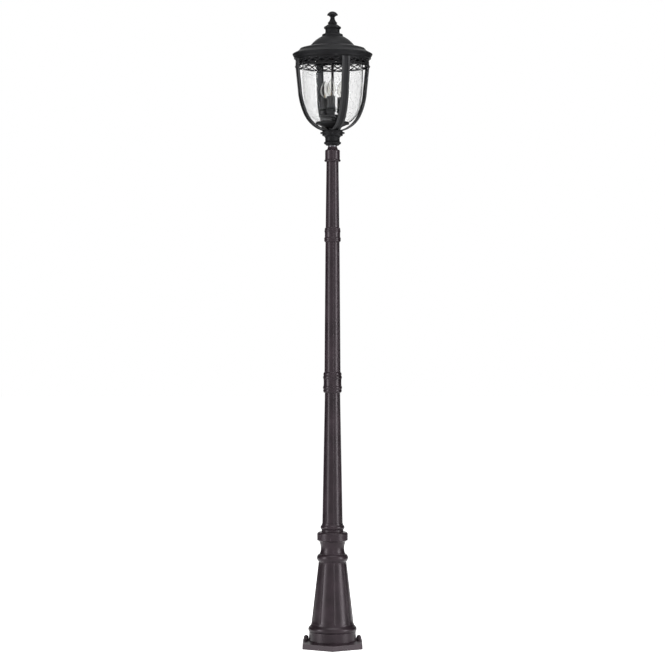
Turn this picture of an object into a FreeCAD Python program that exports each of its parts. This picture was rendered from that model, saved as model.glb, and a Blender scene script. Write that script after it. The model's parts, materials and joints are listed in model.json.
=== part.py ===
"""Lamp post with one glazed lantern head that holds three candle lamps.

Millimetres, +Z up. The origin is the centre of the foot plate's underside, and the front is -Y.
Every turned piece is drawn from its own seat at height 0 and then raised to its place in the stack.
"""
import FreeCAD, Part
import math
import os
import re
import Sketcher

SIZES = {
    # clearances
    "thread_gap": 0.05,
    "slip_gap": 0.3,
    "fine_gap": 0.15,
    # hexagonal foot plate with its round drum
    "plate_corner": 130.6,
    "plate_draft": 1.0,
    "plate_height": 20.5,
    "bevel_height": 5.5,
    "bevel_corner": 105.0,
    "bevel_ledge": 1.5,
    "drum_foot_radius": 89.4,
    "drum_top_radius": 88.2,
    "drum_height": 33.0,
    "drum_bore": 72.0,
    "floor_height": 12.0,
    "inlet_radius": 16.0,
    "anchor_hole": 5.5,
    "anchor_seat_height": 27.0,
    "anchor_boss_radius": 11.4,
    # anchor washers and dome nuts
    "washer_radius": 9.9,
    "washer_height": 2.0,
    "nut_corner": 9.9,
    "nut_height": 8.0,
    "nut_dome": 9.0,
    "nut_bore": 5.0,
    "nut_crown": 5.0,
    # screws that hold the pedestal from below
    "hold_circle": 57.0,
    "hold_radius": 3.0,
    "hold_head": 5.5,
    "hold_head_height": 5.0,
    "hold_length": 34.0,
    "hold_spare": 2.0,
    "hold_key": 2.8,
    "boss_radius": 9.0,
    # fluted pedestal
    "foot_ring_radius": 87.4,
    "foot_bead_round": 13.6,
    "foot_bead_height": 20.0,
    "flare_radius": 80.0,
    "flare_round": 18.0,
    "flare_height": 12.0,
    "cone_height": 233.0,
    "cone_top_radius": 52.5,
    "cone_bead_round": 16.6,
    "cone_bead_height": 28.0,
    "cone_bead_top": 50.0,
    "pedestal_wall": 7.0,
    "pedestal_bore": 36.0,
    "cone_flute_depth": 2.6,
    # pedestal collar
    "collar_foot_radius": 49.0,
    "collar_foot_height": 6.0,
    "cove_foot_radius": 46.3,
    "cove_round": 56.0,
    "cove_height": 35.0,
    "cove_top_radius": 47.6,
    "ring_radius": 57.8,
    "ring_cove_round": 11.0,
    "ring_cove_height": 10.5,
    "ring_height": 19.5,
    "ring_top_round": 9.5,
    "ring_top_height": 12.0,
    "ring_top_radius": 49.5,
    "spigot_height": 24.0,
    "spigot_wall": 4.0,
    # lower shaft
    "shaft_foot_radius": 41.2,
    "shaft_foot_height": 9.0,
    "shaft_bead_round": 10.4,
    "shaft_bead_height": 17.0,
    "shaft_bead_top": 40.6,
    "shaft_ease_height": 8.0,
    "lower_shaft_height": 525.0,
    "lower_shaft_foot": 38.6,
    "lower_shaft_top": 29.0,
    "lower_shaft_bore": 23.0,
    "shaft_flute_depth": 1.6,
    "arris_degrees": 5.0,
    # lower coupling
    "lower_coupling_height": 78.0,
    "lower_rim_radius": 34.9,
    "lower_waist_radius": 33.6,
    "coupling_edge_ease": 3.2,
    "coupling_groove": 0.9,
    "coupling_waist_ease": 0.4,
    "coupling_waist_round": 130.0,
    "lower_crown_radius": 34.2,
    "lower_bead_height": 13.0,
    "lower_bead_round": 11.5,
    # joint tube in the lower coupling
    "lower_tube_radius": 18.7,
    "lower_tube_bore": 15.5,
    "lower_tube_grip": 55.0,
    # middle shaft
    "middle_shaft_height": 491.0,
    "middle_shaft_foot": 30.6,
    "middle_shaft_top": 26.9,
    # upper coupling
    "upper_coupling_height": 54.5,
    "upper_rim_radius": 31.7,
    "upper_waist_radius": 28.9,
    "upper_crown_radius": 30.0,
    "upper_bead_height": 9.0,
    "upper_bead_round": 8.0,
    # joint tube in the upper coupling
    "upper_tube_radius": 16.2,
    "upper_tube_bore": 13.2,
    "upper_tube_grip": 50.0,
    # upper shaft
    "upper_shaft_height": 248.5,
    "upper_shaft_foot": 26.2,
    "upper_shaft_top": 23.0,
    # coupling screws
    "grub_radius": 3.0,
    "grub_recess": 2.0,
    # post cap
    "cap_bead_round": 4.95,
    "cap_bead_height": 9.0,
    "cap_radius": 27.9,
    "cap_body_height": 31.5,
    "cap_shoulder_round": 5.0,
    "cap_shoulder_radius": 22.5,
    "cap_shoulder_height": 5.0,
    "cap_cone_round": 16.0,
    "cap_cone_radius": 17.6,
    "cap_cone_height": 11.5,
    "cap_spigot_height": 25.0,
    "cap_floor_height": 12.0,
    # neck nipple and its ring nut
    "nipple_radius": 16.6,
    "nipple_bore": 12.5,
    "neck_height": 4.0,
    "ring_nut_height": 6.0,
    # base cup
    "cup_foot_radius": 22.8,
    "cup_foot_height": 5.0,
    "cup_step_radius": 28.5,
    "cup_bead_round": 4.85,
    "cup_bead_height": 9.5,
    "cup_neck_radius": 27.6,
    "cup_cove_round": 9.0,
    "cup_cove_height": 7.0,
    "cup_neck_height": 7.0,
    "cup_flare_round": 12.0,
    "cup_flare_height": 8.5,
    "cup_shoulder_radius": 38.7,
    "cup_shoulder_height": 8.0,
    "cup_flange_radius": 46.0,
    "cup_flange_height": 5.0,
    "cup_top_height": 5.0,
    "cup_bore": 22.4,
    "cup_floor_height": 14.0,
    "cup_lid_height": 10.0,
    "wire_hole_radius": 4.5,
    "wire_hole_offset": 12.5,
    # ribs
    "rib_degrees": 21.0,
    "rib_width": 30.0,
    "rib_height": 5.4,
    "rib_border": 7.5,
    "rib_recess": 2.0,
    "rib_knee_radius": 134.4,
    "rib_knee_degrees": 85.2,
    "rib_waist_degrees": 65.0,
    "rib_foot_degrees": 16.0,
    "rib_top_drop": 2.0,
    "rib_straight_drop": 4.0,
    "rib_foot_level": 1.0,
    "rib_bend_radius": 30.5,
    "rib_tab_gap": 1.3,
    "rib_screw_inset": 1.9,
    "rib_foot_round": 25.0,
    "rib_knee_level": 155.0,
    "rib_waist_radius": 111.2,
    "rib_waist_level": 64.0,
    "rib_body_round": 253.0,
    "rib_tail_round": 117.0,
    "rib_foot_radius": 37.4,
    "rib_screw_radius": 2.0,
    "rib_head_radius": 3.8,
    "rib_head_height": 2.4,
    "rib_key": 1.4,
    "rib_foot_thread": 7.0,
    "rib_top_grip": 3.0,
    # glass dish
    "dish_stem_radius": 23.2,
    "dish_stem_height": 8.5,
    "dish_slope_radius": 27.0,
    "dish_slope_height": 3.0,
    "dish_under_radius": 58.5,
    "dish_under_height": 14.0,
    "dish_edge_height": 5.5,
    "dish_radius": 63.0,
    "dish_bore": 17.5,
    "dish_bore_height": 19.0,
    # gasket and glass bowl
    "gasket_height": 1.5,
    "gasket_margin": 1.0,
    "glass_lip_inner": 57.5,
    "glass_foot_radius": 65.0,
    "glass_wall": 3.0,
    "glass_shoulder_radius": 104.0,
    "glass_shoulder_height": 57.5,
    "glass_belly_round": 88.0,
    "glass_top_radius": 115.3,
    "glass_side_height": 152.0,
    "glass_side_round": 800.0,
    "glass_rim_height": 14.0,
    # gallery band
    "band_level": 240.0,
    "band_height": 30.0,
    "band_inner": 134.5,
    "band_outer": 137.7,
    "band_rim_radius": 142.0,
    "band_rim_height": 5.0,
    "band_rim_round": 3.2,
    "band_rim_ease": 1.2,
    "band_crown_radius": 139.0,
    "band_crown_height": 3.2,
    "eye_width": 27.0,
    "eye_height": 11.0,
    "lens_width": 16.0,
    "lens_height": 5.2,
    "lens_offset": 8.0,
    "eye_count": 24,
    "notch_depth": 10.0,
    # roof
    "roof_wall": 4.0,
    "roof_lip_height": 5.0,
    "roof_lip_wall": 3.2,
    "eave_foot_radius": 141.6,
    "eave_step_height": 2.5,
    "eave_fillet_height": 5.5,
    "eave_under_height": 5.0,
    "eave_step_radius": 145.4,
    "eave_under_radius": 148.6,
    "eave_radius": 151.0,
    "eave_height": 17.5,
    "eave_edge_height": 2.6,
    "apron_radius": 129.0,
    "apron_height": 12.0,
    "step_radius": 122.0,
    "step_height": 9.0,
    "ledge_radius": 84.0,
    "ledge_height": 10.5,
    "dome_round": 120.0,
    "dome_radius": 42.5,
    "dome_height": 34.5,
    # vent turret
    "turret_collar_radius": 39.4,
    "turret_collar_height": 5.5,
    "turret_collar_round": 5.0,
    "turret_collar_top": 33.0,
    "turret_collar_rise": 4.5,
    "turret_cove_round": 9.0,
    "turret_neck_radius": 27.0,
    "turret_cove_height": 6.5,
    "turret_neck_height": 8.5,
    "turret_flange_radius": 32.2,
    "turret_flare_round": 9.0,
    "turret_flare_height": 6.5,
    "turret_flange_height": 5.0,
    "turret_cone_radius": 17.0,
    "turret_cone_height": 10.5,
    "turret_wall": 4.0,
    # finial washer and finial
    "finial_washer_radius": 15.0,
    "finial_washer_height": 1.2,
    "finial_foot_radius": 16.2,
    "finial_foot_height": 3.0,
    "finial_flare_radius": 18.1,
    "finial_flare_height": 1.5,
    "finial_stem_radius": 8.4,
    "finial_flare_round": 30.0,
    "finial_cove_height": 17.0,
    "finial_stem_height": 3.5,
    "finial_cap_radius": 20.6,
    "finial_cap_ease": 0.8,
    "finial_under_round": 14.0,
    "finial_under_height": 7.5,
    "finial_edge_height": 1.8,
    "finial_dome_height": 13.4,
    "finial_thread_depth": 20.0,
    # centre rod and its nuts
    "rod_radius": 4.95,
    "rod_tail": 14.0,
    "rod_end_gap": 1.0,
    "rod_nut_corner": 9.2,
    "rod_nut_height": 8.0,
    # candle pan and cover
    "pan_foot_radius": 37.8,
    "pan_round": 24.0,
    "pan_height": 27.0,
    "pan_lip_radius": 50.5,
    "pan_lip_round": 3.1,
    "pan_lip_height": 6.0,
    "pan_floor": 4.0,
    "pan_wall": 3.0,
    "pan_rim": 3.0,
    "cover_height": 2.5,
    # terminal block
    "terminal_length": 26.0,
    "terminal_width": 10.0,
    "terminal_height": 13.0,
    "terminal_offset": 20.0,
    "terminal_count": 3,
    "terminal_bore": 2.0,
    # candle cups, sleeves and lampholders
    "candle_circle": 36.0,
    "candle_degrees": 9.0,
    "candle_cup_foot": 15.5,
    "candle_cup_neck": 13.5,
    "candle_cup_foot_height": 3.0,
    "candle_cup_neck_height": 5.0,
    "candle_cup_bulge_round": 8.2,
    "candle_cup_bulge_height": 14.0,
    "candle_cup_flange_height": 3.0,
    "candle_cup_waist": 15.2,
    "candle_cup_flange": 19.6,
    "candle_cup_height": 27.0,
    "candle_cup_bore": 5.0,
    "sleeve_radius": 15.5,
    "sleeve_wall": 1.5,
    "sleeve_height": 43.0,
    "holder_inset": 1.0,
    # candle lamps
    "lamp_cap_radius": 6.95,
    "lamp_cap_height": 26.0,
    "lamp_rise": 1.0,
    "lamp_tip_radius": 3.0,
    "lamp_tip_height": 2.5,
    "lamp_shoulder_height": 2.0,
    "lamp_cap_wall": 0.6,
    "lamp_throat_depth": 6.0,
    "lamp_neck_radius": 8.6,
    "lamp_neck_height": 5.0,
    "lamp_belly_height": 17.0,
    "lamp_radius": 17.5,
    "lamp_belly_round": 26.0,
    "lamp_nose_round": 56.0,
    "lamp_nose_height": 38.5,
    "lamp_nose_radius": 2.0,
    "lamp_glass_wall": 1.0,
    "lamp_tip_dome": 2.4,
    "stem_radius": 3.0,
    "stem_height": 34.0,
    "stem_top_radius": 1.6,
    "wire_radius": 0.4,
    "wire_spread": 5.0,
    "wire_height": 12.0,
    "coil_radius": 0.7,
}

SHEET_NAME = "Sizes"
FLUTES = 8
HOLD_SCREWS = 3
RIBS = 4
CANDLES = 3
FULL_TURN = 360.0
FRONT = -90.0
TINY = 1e-9
FLUTE_AIM = -82.5 + FULL_TURN / FLUTES / 2

document = FreeCAD.newDocument("lamp_post")
sheet = document.addObject("Spreadsheet::Sheet", SHEET_NAME)
subparts = []


def fill_sheet():
    """Put every driving size in the sheet, its name beside it."""
    for row, (alias, amount) in enumerate(SIZES.items(), start=1):
        sheet.set(f"A{row}", alias)
        sheet.set(f"B{row}", str(amount))
        sheet.setAlias(f"B{row}", alias)
    document.recompute()


def bound(text):
    """The expression with the sheet's name put before each alias."""
    return re.sub(r"\b(?!deg\b)[a-z][a-z_]+\b(?!\()", SHEET_NAME + r".\g<0>", text)


def value(text):
    """What an expression comes to now, as a plain number."""
    found = sheet.evalExpression(bound(text))
    return float(getattr(found, "Value", found))


def origin_plane(owner, role):
    """One of the body's own base planes."""
    return next(item for item in owner.Origin.OriginFeatures if item.Role == role)


def new_body(label):
    """A new sub-part, listed for the export."""
    owner = document.addObject("PartDesign::Body", label)
    subparts.append(owner)
    return owner


def new_sketch(owner, name, role="XZ_Plane", lift="0", turn=0.0):
    """A sketch on one of the body's base planes, raised by lift and turned about its own upright."""
    sketch = owner.newObject("Sketcher::SketchObject", name)
    sketch.AttachmentSupport = [(origin_plane(owner, role), "")]
    sketch.MapMode = "FlatFace"
    upright = FreeCAD.Vector(0, 1, 0)
    sketch.AttachmentOffset = FreeCAD.Placement(FreeCAD.Vector(), FreeCAD.Rotation(upright, turn))
    if lift != "0":
        sketch.setExpression("AttachmentOffset.Base.z", bound(lift))
    return sketch


def hold_point(sketch, edge, point, across, up):
    """Tie one point of an edge to its two coordinates."""
    for kind, axis, text in (("DistanceX", -2, across), ("DistanceY", -1, up)):
        if text == "0":
            sketch.addConstraint(Sketcher.Constraint("PointOnObject", edge, point, axis))
            continue
        number = sketch.addConstraint(Sketcher.Constraint(kind, edge, point, value(text)))
        sketch.setExpression(f"Constraints[{number}]", bound(text))


def arc_between(start, end, radius):
    """The short arc from start to end: a positive radius turns left on the way, a negative one right."""
    chord = end - start
    rise = math.sqrt(max(radius * radius - chord.Length ** 2 / 4, 0.0))
    left = FreeCAD.Vector(-chord.y, chord.x, 0).normalize()
    centre = (start + end) / 2 + left * math.copysign(rise, radius)
    first, last = (start, end) if radius > 0 else (end, start)
    angles = [math.atan2(spot.y - centre.y, spot.x - centre.x) for spot in (first, last)]
    circle = Part.Circle(centre, FreeCAD.Vector(0, 0, 1), abs(radius))
    return Part.ArcOfCircle(circle, angles[0], angles[1])


def draw(sketch, points, closed=True):
    """Edges through the points. A third item is the radius of the arc that leads to that point."""
    spots = [FreeCAD.Vector(value(item[0]), value(item[1]), 0) for item in points]
    count = len(points) if closed else len(points) - 1
    turned_back = []
    base = sketch.GeometryCount
    for index in range(count):
        target = (index + 1) % len(points)
        text = points[target][2] if len(points[target]) > 2 else None
        radius = value(text) if text else 0.0
        turned_back.append(radius < 0)
        if text:
            sketch.addGeometry(arc_between(spots[index], spots[target], radius))
        else:
            sketch.addGeometry(Part.LineSegment(spots[index], spots[target]))
    for index in range(count):
        begin = 2 if turned_back[index] else 1
        hold_point(sketch, base + index, begin, points[index][0], points[index][1])
        follower = (index + 1) % len(points)
        if follower < count:
            tip = 1 if turned_back[index] else 2
            start = 2 if turned_back[follower] else 1
            sketch.addConstraint(Sketcher.Constraint("Coincident", base + index, tip, base + follower, start))
        else:
            tip = 1 if turned_back[index] else 2
            hold_point(sketch, base + index, tip, points[-1][0], points[-1][1])
        text = points[follower][2] if len(points[follower]) > 2 else None
        if text:
            size = abs(value(text))
            number = sketch.addConstraint(Sketcher.Constraint("Radius", base + index, size))
            sketch.setExpression(f"Constraints[{number}]", f"abs({bound(text)})")
    return sketch


def draw_circle(sketch, across, up, radius):
    """A circle held by its centre and radius."""
    centre = FreeCAD.Vector(value(across), value(up), 0)
    edge = sketch.addGeometry(Part.Circle(centre, FreeCAD.Vector(0, 0, 1), value(radius)))
    hold_point(sketch, edge, 3, across, up)
    number = sketch.addConstraint(Sketcher.Constraint("Radius", edge, value(radius)))
    sketch.setExpression(f"Constraints[{number}]", bound(radius))
    return sketch


def polar(radius, degrees):
    """Both coordinates of a point at a radius and angle about the origin, as expressions."""
    texts = [f"({radius}) * {name}(({degrees}) * 1 deg)" for name in ("cos", "sin")]
    return [text if abs(value(text)) > TINY else "0" for text in texts]


def draw_hexagon(sketch, corner):
    """A hexagon about the origin with one corner to the front."""
    return draw(sketch, [polar(corner, FRONT + index * 60.0) for index in range(6)])


def revolve(owner, points, name, cut=False):
    """Turn a closed half outline round the upright axis, as metal or as a cut."""
    sketch = draw(new_sketch(owner, name + "_outline"), points)
    turn = owner.newObject("PartDesign::Groove" if cut else "PartDesign::Revolution", name)
    turn.Profile = sketch
    turn.ReferenceAxis = (sketch, ["V_Axis"])
    turn.Angle = FULL_TURN
    return turn


def raise_to(owner, level, degrees=0.0):
    """Put a finished sub-part at its level, turned about the post's axis."""
    upright = FreeCAD.Vector(0, 0, 1)
    owner.Placement = FreeCAD.Placement(FreeCAD.Vector(), FreeCAD.Rotation(upright, degrees))
    if level != "0":
        owner.setExpression("Placement.Base.z", bound(level))


def turned(label, points, level):
    """A sub-part turned from one closed half outline."""
    owner = new_body(label)
    revolve(owner, points, label + "_turn")
    raise_to(owner, level)
    return owner


def pocket(owner, sketch, name, length=None, reverse=False):
    """Cut a sketch through everything, or to a length."""
    cut = owner.newObject("PartDesign::Pocket", name)
    cut.Profile = sketch
    cut.Reversed = reverse
    if length is None:
        cut.Type = "ThroughAll"
    else:
        cut.setExpression("Length", bound(length))
    return cut


def pad(owner, sketch, name, length, reverse=False):
    """Raise a sketch by a length."""
    grown = owner.newObject("PartDesign::Pad", name)
    grown.Profile = sketch
    grown.Reversed = reverse
    grown.setExpression("Length", bound(length))
    return grown


def repeat(owner, feature, name, count):
    """Copy a feature round the upright axis."""
    pattern = owner.newObject("PartDesign::PolarPattern", name)
    pattern.Originals = [feature]
    pattern.Axis = (origin_plane(owner, "Z_Axis"), [""])
    pattern.Angle = FULL_TURN
    if isinstance(count, str):
        pattern.setExpression("Occurrences", bound(count))
    else:
        pattern.Occurrences = count
    owner.Tip = pattern
    return pattern


# Radii and places that follow from other sizes.
ANCHOR_OFFSET = "(drum_foot_radius + slip_gap + washer_radius)"
COLLAR_BORE = "(pedestal_bore - slip_gap - spigot_wall)"
ROD_HOLE = "rod_radius + slip_gap"
ROOF_LIP = "band_inner - slip_gap"
RING_NUT = "cup_bore - 3 * slip_gap"
RIB_TAB = "dish_stem_radius + rib_tab_gap"
RIB_SCREW_CIRCLE = "(rib_bend_radius - rib_screw_inset)"
RIB_TOP_RADIUS = "(band_outer + fine_gap + rib_height)"
RIB_TOP_LEVEL = "band_level + band_height - rib_top_drop"
RIB_STRAIGHT_LEVEL = "band_level - rib_straight_drop"
PAN_COVER_EDGE = "pan_lip_radius - pan_rim"
LAMP_THROAT = "lamp_cap_radius - lamp_cap_wall - fine_gap"

# Heights of the seats, from the ground up.
DRUM_TOP = "plate_height + bevel_height + drum_height"
PEDESTAL_HEIGHT = "foot_bead_height + flare_height + cone_height + cone_bead_height"
PEDESTAL_TOP = f"{DRUM_TOP} + {PEDESTAL_HEIGHT}"
RING_FOOT = "collar_foot_height + cove_height + ring_cove_height"
COLLAR_HEIGHT = f"{RING_FOOT} + ring_height + ring_top_height"
COLLAR_TOP = f"{PEDESTAL_TOP} + {COLLAR_HEIGHT}"
LOWER_COUPLING = f"{COLLAR_TOP} + lower_shaft_height"
MIDDLE_SHAFT = f"{LOWER_COUPLING} + lower_coupling_height"
UPPER_COUPLING = f"{MIDDLE_SHAFT} + middle_shaft_height"
UPPER_SHAFT = f"{UPPER_COUPLING} + upper_coupling_height"
POST_CAP = f"{UPPER_SHAFT} + upper_shaft_height"
POST_CAP_HEIGHT = "cap_bead_height + cap_body_height + cap_shoulder_height + cap_cone_height"
BASE_CUP = f"{POST_CAP} + {POST_CAP_HEIGHT} + neck_height"
CUP_SHOULDER = (
    "cup_foot_height + cup_bead_height + cup_cove_height + cup_neck_height + cup_flare_height"
)
CUP_HEIGHT = f"{CUP_SHOULDER} + cup_shoulder_height + cup_flange_height + cup_top_height"
CUP_TOP = f"{BASE_CUP} + {CUP_HEIGHT}"
DISH_HEIGHT = "dish_stem_height + dish_slope_height + dish_under_height + dish_edge_height"
DISH_TOP = f"{CUP_TOP} + {DISH_HEIGHT}"
GLASS_FOOT = f"{DISH_TOP} + gasket_height"
BAND_FOOT = f"{CUP_TOP} + band_level"
BAND_TOP = f"{BAND_FOOT} + band_height"
ROOF_FOOT = BAND_TOP
EAVE_TOP = "eave_height + eave_edge_height"
LEDGE_FOOT = f"{EAVE_TOP} + apron_height + step_height"
ROOF_HEIGHT = f"{LEDGE_FOOT} + ledge_height + dome_height"
ROOF_TOP = f"{ROOF_FOOT} + {ROOF_HEIGHT}"
TURRET_NECK = "turret_collar_height + turret_collar_rise + turret_cove_height + turret_neck_height"
TURRET_HEIGHT = f"{TURRET_NECK} + turret_flare_height + turret_flange_height + turret_cone_height"
TURRET_TOP = f"{ROOF_TOP} + {TURRET_HEIGHT}"
FINIAL_FOOT = f"{TURRET_TOP} + finial_washer_height"
FINIAL_DOME = "(finial_cap_radius ^ 2 + finial_dome_height ^ 2) / (2 * finial_dome_height)"
PAN_COVER = f"{DISH_TOP} + pan_height - cover_height"
CANDLE_FOOT = f"{DISH_TOP} + pan_height"
SLEEVE_FOOT = f"{CANDLE_FOOT} + candle_cup_height"
LAMP_FOOT = f"{SLEEVE_FOOT} + sleeve_height + lamp_rise - lamp_cap_height"


def foot_plate():
    """Hexagonal plate with a bevelled top, and the round drum that stands on it."""
    owner = new_body("foot_plate")
    levels = (
        ("plate_wall", "plate_corner", "0", "plate_corner - plate_draft", "plate_height"),
        ("plate_bevel", "plate_corner - plate_draft - bevel_ledge", "plate_height",
         "bevel_corner", "plate_height + bevel_height"),
    )
    for name, low_corner, low, high_corner, high in levels:
        loft = owner.newObject("PartDesign::AdditiveLoft", name)
        loft.Profile = draw_hexagon(new_sketch(owner, name + "_low", "XY_Plane", low), low_corner)
        loft.Sections = [draw_hexagon(new_sketch(owner, name + "_high", "XY_Plane", high), high_corner)]
        loft.Ruled = True
    revolve(owner, [
        ("0", "floor_height"),
        ("drum_foot_radius", "floor_height"),
        ("drum_foot_radius", "plate_height + bevel_height"),
        ("drum_top_radius", DRUM_TOP),
        ("0", DRUM_TOP),
    ], "drum")
    revolve(owner, [
        ("0", "floor_height"),
        ("drum_bore", "floor_height"),
        ("drum_bore", DRUM_TOP),
        ("0", DRUM_TOP),
    ], "drum_hollow", cut=True)
    lugs = new_sketch(owner, "anchor_boss_circles", "XY_Plane", "floor_height")
    draw_circle(lugs, ANCHOR_OFFSET, "0", "anchor_boss_radius")
    draw_circle(lugs, f"-{ANCHOR_OFFSET}", "0", "anchor_boss_radius")
    pad(owner, lugs, "anchor_bosses", "anchor_seat_height - floor_height")
    inlet = draw_circle(new_sketch(owner, "inlet_circle", "XY_Plane"), "0", "0", "inlet_radius")
    pocket(owner, inlet, "cable_inlet", reverse=True)
    holes = new_sketch(owner, "anchor_circles", "XY_Plane")
    draw_circle(holes, ANCHOR_OFFSET, "0", "anchor_hole")
    draw_circle(holes, f"-{ANCHOR_OFFSET}", "0", "anchor_hole")
    pocket(owner, holes, "anchor_holes", reverse=True)
    hold = draw_circle(
        new_sketch(owner, "hold_circle_sketch", "XY_Plane"), "0", "hold_circle", "hold_radius + fine_gap"
    )
    hold_cut = pocket(owner, hold, "hold_hole", "floor_height", reverse=True)
    repeat(owner, hold_cut, "hold_holes", HOLD_SCREWS)
    sink = draw_circle(
        new_sketch(owner, "sink_circle", "XY_Plane"), "0", "hold_circle", "hold_head + slip_gap"
    )
    sink_cut = pocket(owner, sink, "hold_sink", "hold_head_height + slip_gap", reverse=True)
    repeat(owner, sink_cut, "hold_sinks", HOLD_SCREWS)


def place_copies(label, make_shape, placements):
    """One sub-part that holds several equal solids, each at its own place."""
    solid = make_shape()
    group = document.addObject("Part::Feature", label)
    group.Shape = Part.makeCompound([solid.transformed(place.toMatrix()) for place in placements])
    subparts.append(group)
    return group


def spot(radius, degrees, height, tilt=0.0):
    """A place at a radius and angle about the axis; tilt leans the piece's own upright outwards."""
    angle = math.radians(degrees)
    base = FreeCAD.Vector(radius * math.cos(angle), radius * math.sin(angle), height)
    turn = FreeCAD.Rotation(FreeCAD.Vector(0, 0, 1), degrees)
    lean = FreeCAD.Rotation(FreeCAD.Vector(0, 1, 0), tilt)
    return FreeCAD.Placement(base, turn.multiply(lean))


def hexagon_prism(corner, height):
    """A six-sided bar about the upright axis."""
    corners = [
        FreeCAD.Vector(corner * math.cos(math.radians(60 * n)), corner * math.sin(math.radians(60 * n)), 0)
        for n in range(6)
    ]
    face = Part.Face(Part.makePolygon(corners + corners[:1]))
    return face.extrude(FreeCAD.Vector(0, 0, height))


def headed_screw(shank, length, head, head_height, key):
    """A screw that stands head down: the head from height 0 with its key hole, the shank above it."""
    upper = Part.makeCylinder(shank, length, FreeCAD.Vector(0, 0, head_height))
    screw = Part.makeCylinder(head, head_height).fuse(upper).removeSplitter()
    return screw.cut(hexagon_prism(key, head_height / 2))


def anchor_washer():
    """Round plain washer."""
    disc = Part.makeCylinder(value("washer_radius"), value("washer_height"))
    return disc.cut(Part.makeCylinder(value("nut_bore + slip_gap"), value("washer_height")))


def anchor_nut():
    """Dome nut: a hexagon below and a half ball above, bored blind from below."""
    height = value("nut_height")
    dome = value("nut_dome")
    body = hexagon_prism(value("nut_corner"), height)
    ball = Part.makeSphere(dome, FreeCAD.Vector(0, 0, height))
    upper = Part.makeCylinder(dome, dome, FreeCAD.Vector(0, 0, height))
    whole = body.fuse(ball.common(upper)).removeSplitter()
    return whole.cut(Part.makeCylinder(value("nut_bore"), height + dome - value("nut_crown")))


def anchor_set():
    """The two washers and dome nuts on the left and right of the plate."""
    seat = value("anchor_seat_height")
    reach = value(ANCHOR_OFFSET)
    washer = value("washer_height")
    place_copies("anchor_washers", anchor_washer, [spot(reach, angle, seat) for angle in (0, 180)])
    place_copies("anchor_nuts", anchor_nut, [spot(reach, angle, seat + washer) for angle in (0, 180)])


def hold_screw():
    """Socket screw that comes up through the plate's floor into the pedestal's boss."""
    return headed_screw(value("hold_radius"), value("hold_length"), value("hold_head"),
                        value("hold_head_height"), value("hold_key"))


def pedestal_screws():
    """The hidden screws between plate and pedestal."""
    gap = value("slip_gap")
    angles = [90 + n * FULL_TURN / HOLD_SCREWS for n in range(HOLD_SCREWS)]
    place_copies("pedestal_screws", hold_screw, [spot(value("hold_circle"), a, gap) for a in angles])


def flute_cut(owner, low, low_radius, high, high_radius, share):
    """Shallow panels sunk between two levels, all round the body, with a thin ridge between neighbours.

    The floor of a panel is concentric with the body. share is its depth over the ridge radius.
    """
    half = f"({FULL_TURN / FLUTES / 2} - arris_degrees / 2)"
    loft = owner.newObject("PartDesign::SubtractiveLoft", "flute")
    sketches = []
    for level, radius, end in ((low, low_radius, "low"), (high, high_radius, "high")):
        floor = f"({radius}) * (1 - {share})"
        clear = f"({radius}) * (1 + {share})"
        sketches.append(draw(new_sketch(owner, f"flute_{end}", "XY_Plane", level), [
            (*polar(floor, f"-{half}"), f"-({floor})"),
            polar(clear, f"-{half}"),
            (*polar(clear, half), clear),
            polar(floor, half),
        ]))
    loft.Profile = sketches[0]
    loft.Sections = [sketches[1]]
    loft.Ruled = True
    repeat(owner, loft, "flutes", FLUTES)


def pedestal():
    """Fluted cone with a bead at its foot and another at its top, hollow, with screw bosses inside."""
    owner = new_body("pedestal")
    cone_foot = "foot_bead_height + flare_height"
    cone_top = f"{cone_foot} + cone_height"
    revolve(owner, [
        ("drum_bore - slip_gap - pedestal_wall", "0"),
        ("foot_ring_radius", "0"),
        ("foot_ring_radius", "foot_bead_height", "foot_bead_round"),
        ("flare_radius", cone_foot, "-flare_round"),
        ("cone_top_radius", cone_top),
        ("cone_bead_top", f"{cone_top} + cone_bead_height", "cone_bead_round"),
        ("pedestal_bore", f"{cone_top} + cone_bead_height"),
        ("pedestal_bore", cone_top),
        ("drum_bore - slip_gap - pedestal_wall", cone_foot),
    ], "cone")
    share = "cone_flute_depth / flare_radius"
    flute_cut(owner, cone_foot, "flare_radius", cone_top, "cone_top_radius", share)
    depth = "plate_height + bevel_height + drum_height - floor_height"
    boss = new_sketch(owner, "boss_circle", "XY_Plane", f"-({depth})")
    draw_circle(boss, "0", "hold_circle", "boss_radius")
    repeat(owner, pad(owner, boss, "boss", f"{depth} + foot_bead_height"), "bosses", HOLD_SCREWS)
    hole = new_sketch(owner, "boss_hole_circle", "XY_Plane", f"-({depth})")
    draw_circle(hole, "0", "hold_circle", "hold_radius + thread_gap")
    reach = "hold_length - floor_height + hold_head_height + hold_spare"
    repeat(owner, pocket(owner, hole, "boss_hole", reach, True), "boss_holes", HOLD_SCREWS)
    raise_to(owner, DRUM_TOP, FLUTE_AIM)


def pedestal_collar():
    """Cove and broad ring that stand on the pedestal, with a spigot down into it."""
    cove_top = "collar_foot_height + cove_height"
    ring_top = f"{RING_FOOT} + ring_height"
    turned("pedestal_collar", [
        (COLLAR_BORE, "-spigot_height"),
        ("pedestal_bore - slip_gap", "-spigot_height"),
        ("pedestal_bore - slip_gap", "0"),
        ("collar_foot_radius", "0"),
        ("cove_foot_radius", "collar_foot_height"),
        ("cove_top_radius", cove_top, "-cove_round"),
        ("ring_radius", RING_FOOT, "-ring_cove_round"),
        ("ring_radius", ring_top),
        ("ring_top_radius", COLLAR_HEIGHT, "ring_top_round"),
        (COLLAR_BORE, COLLAR_HEIGHT),
    ], PEDESTAL_TOP)


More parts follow.
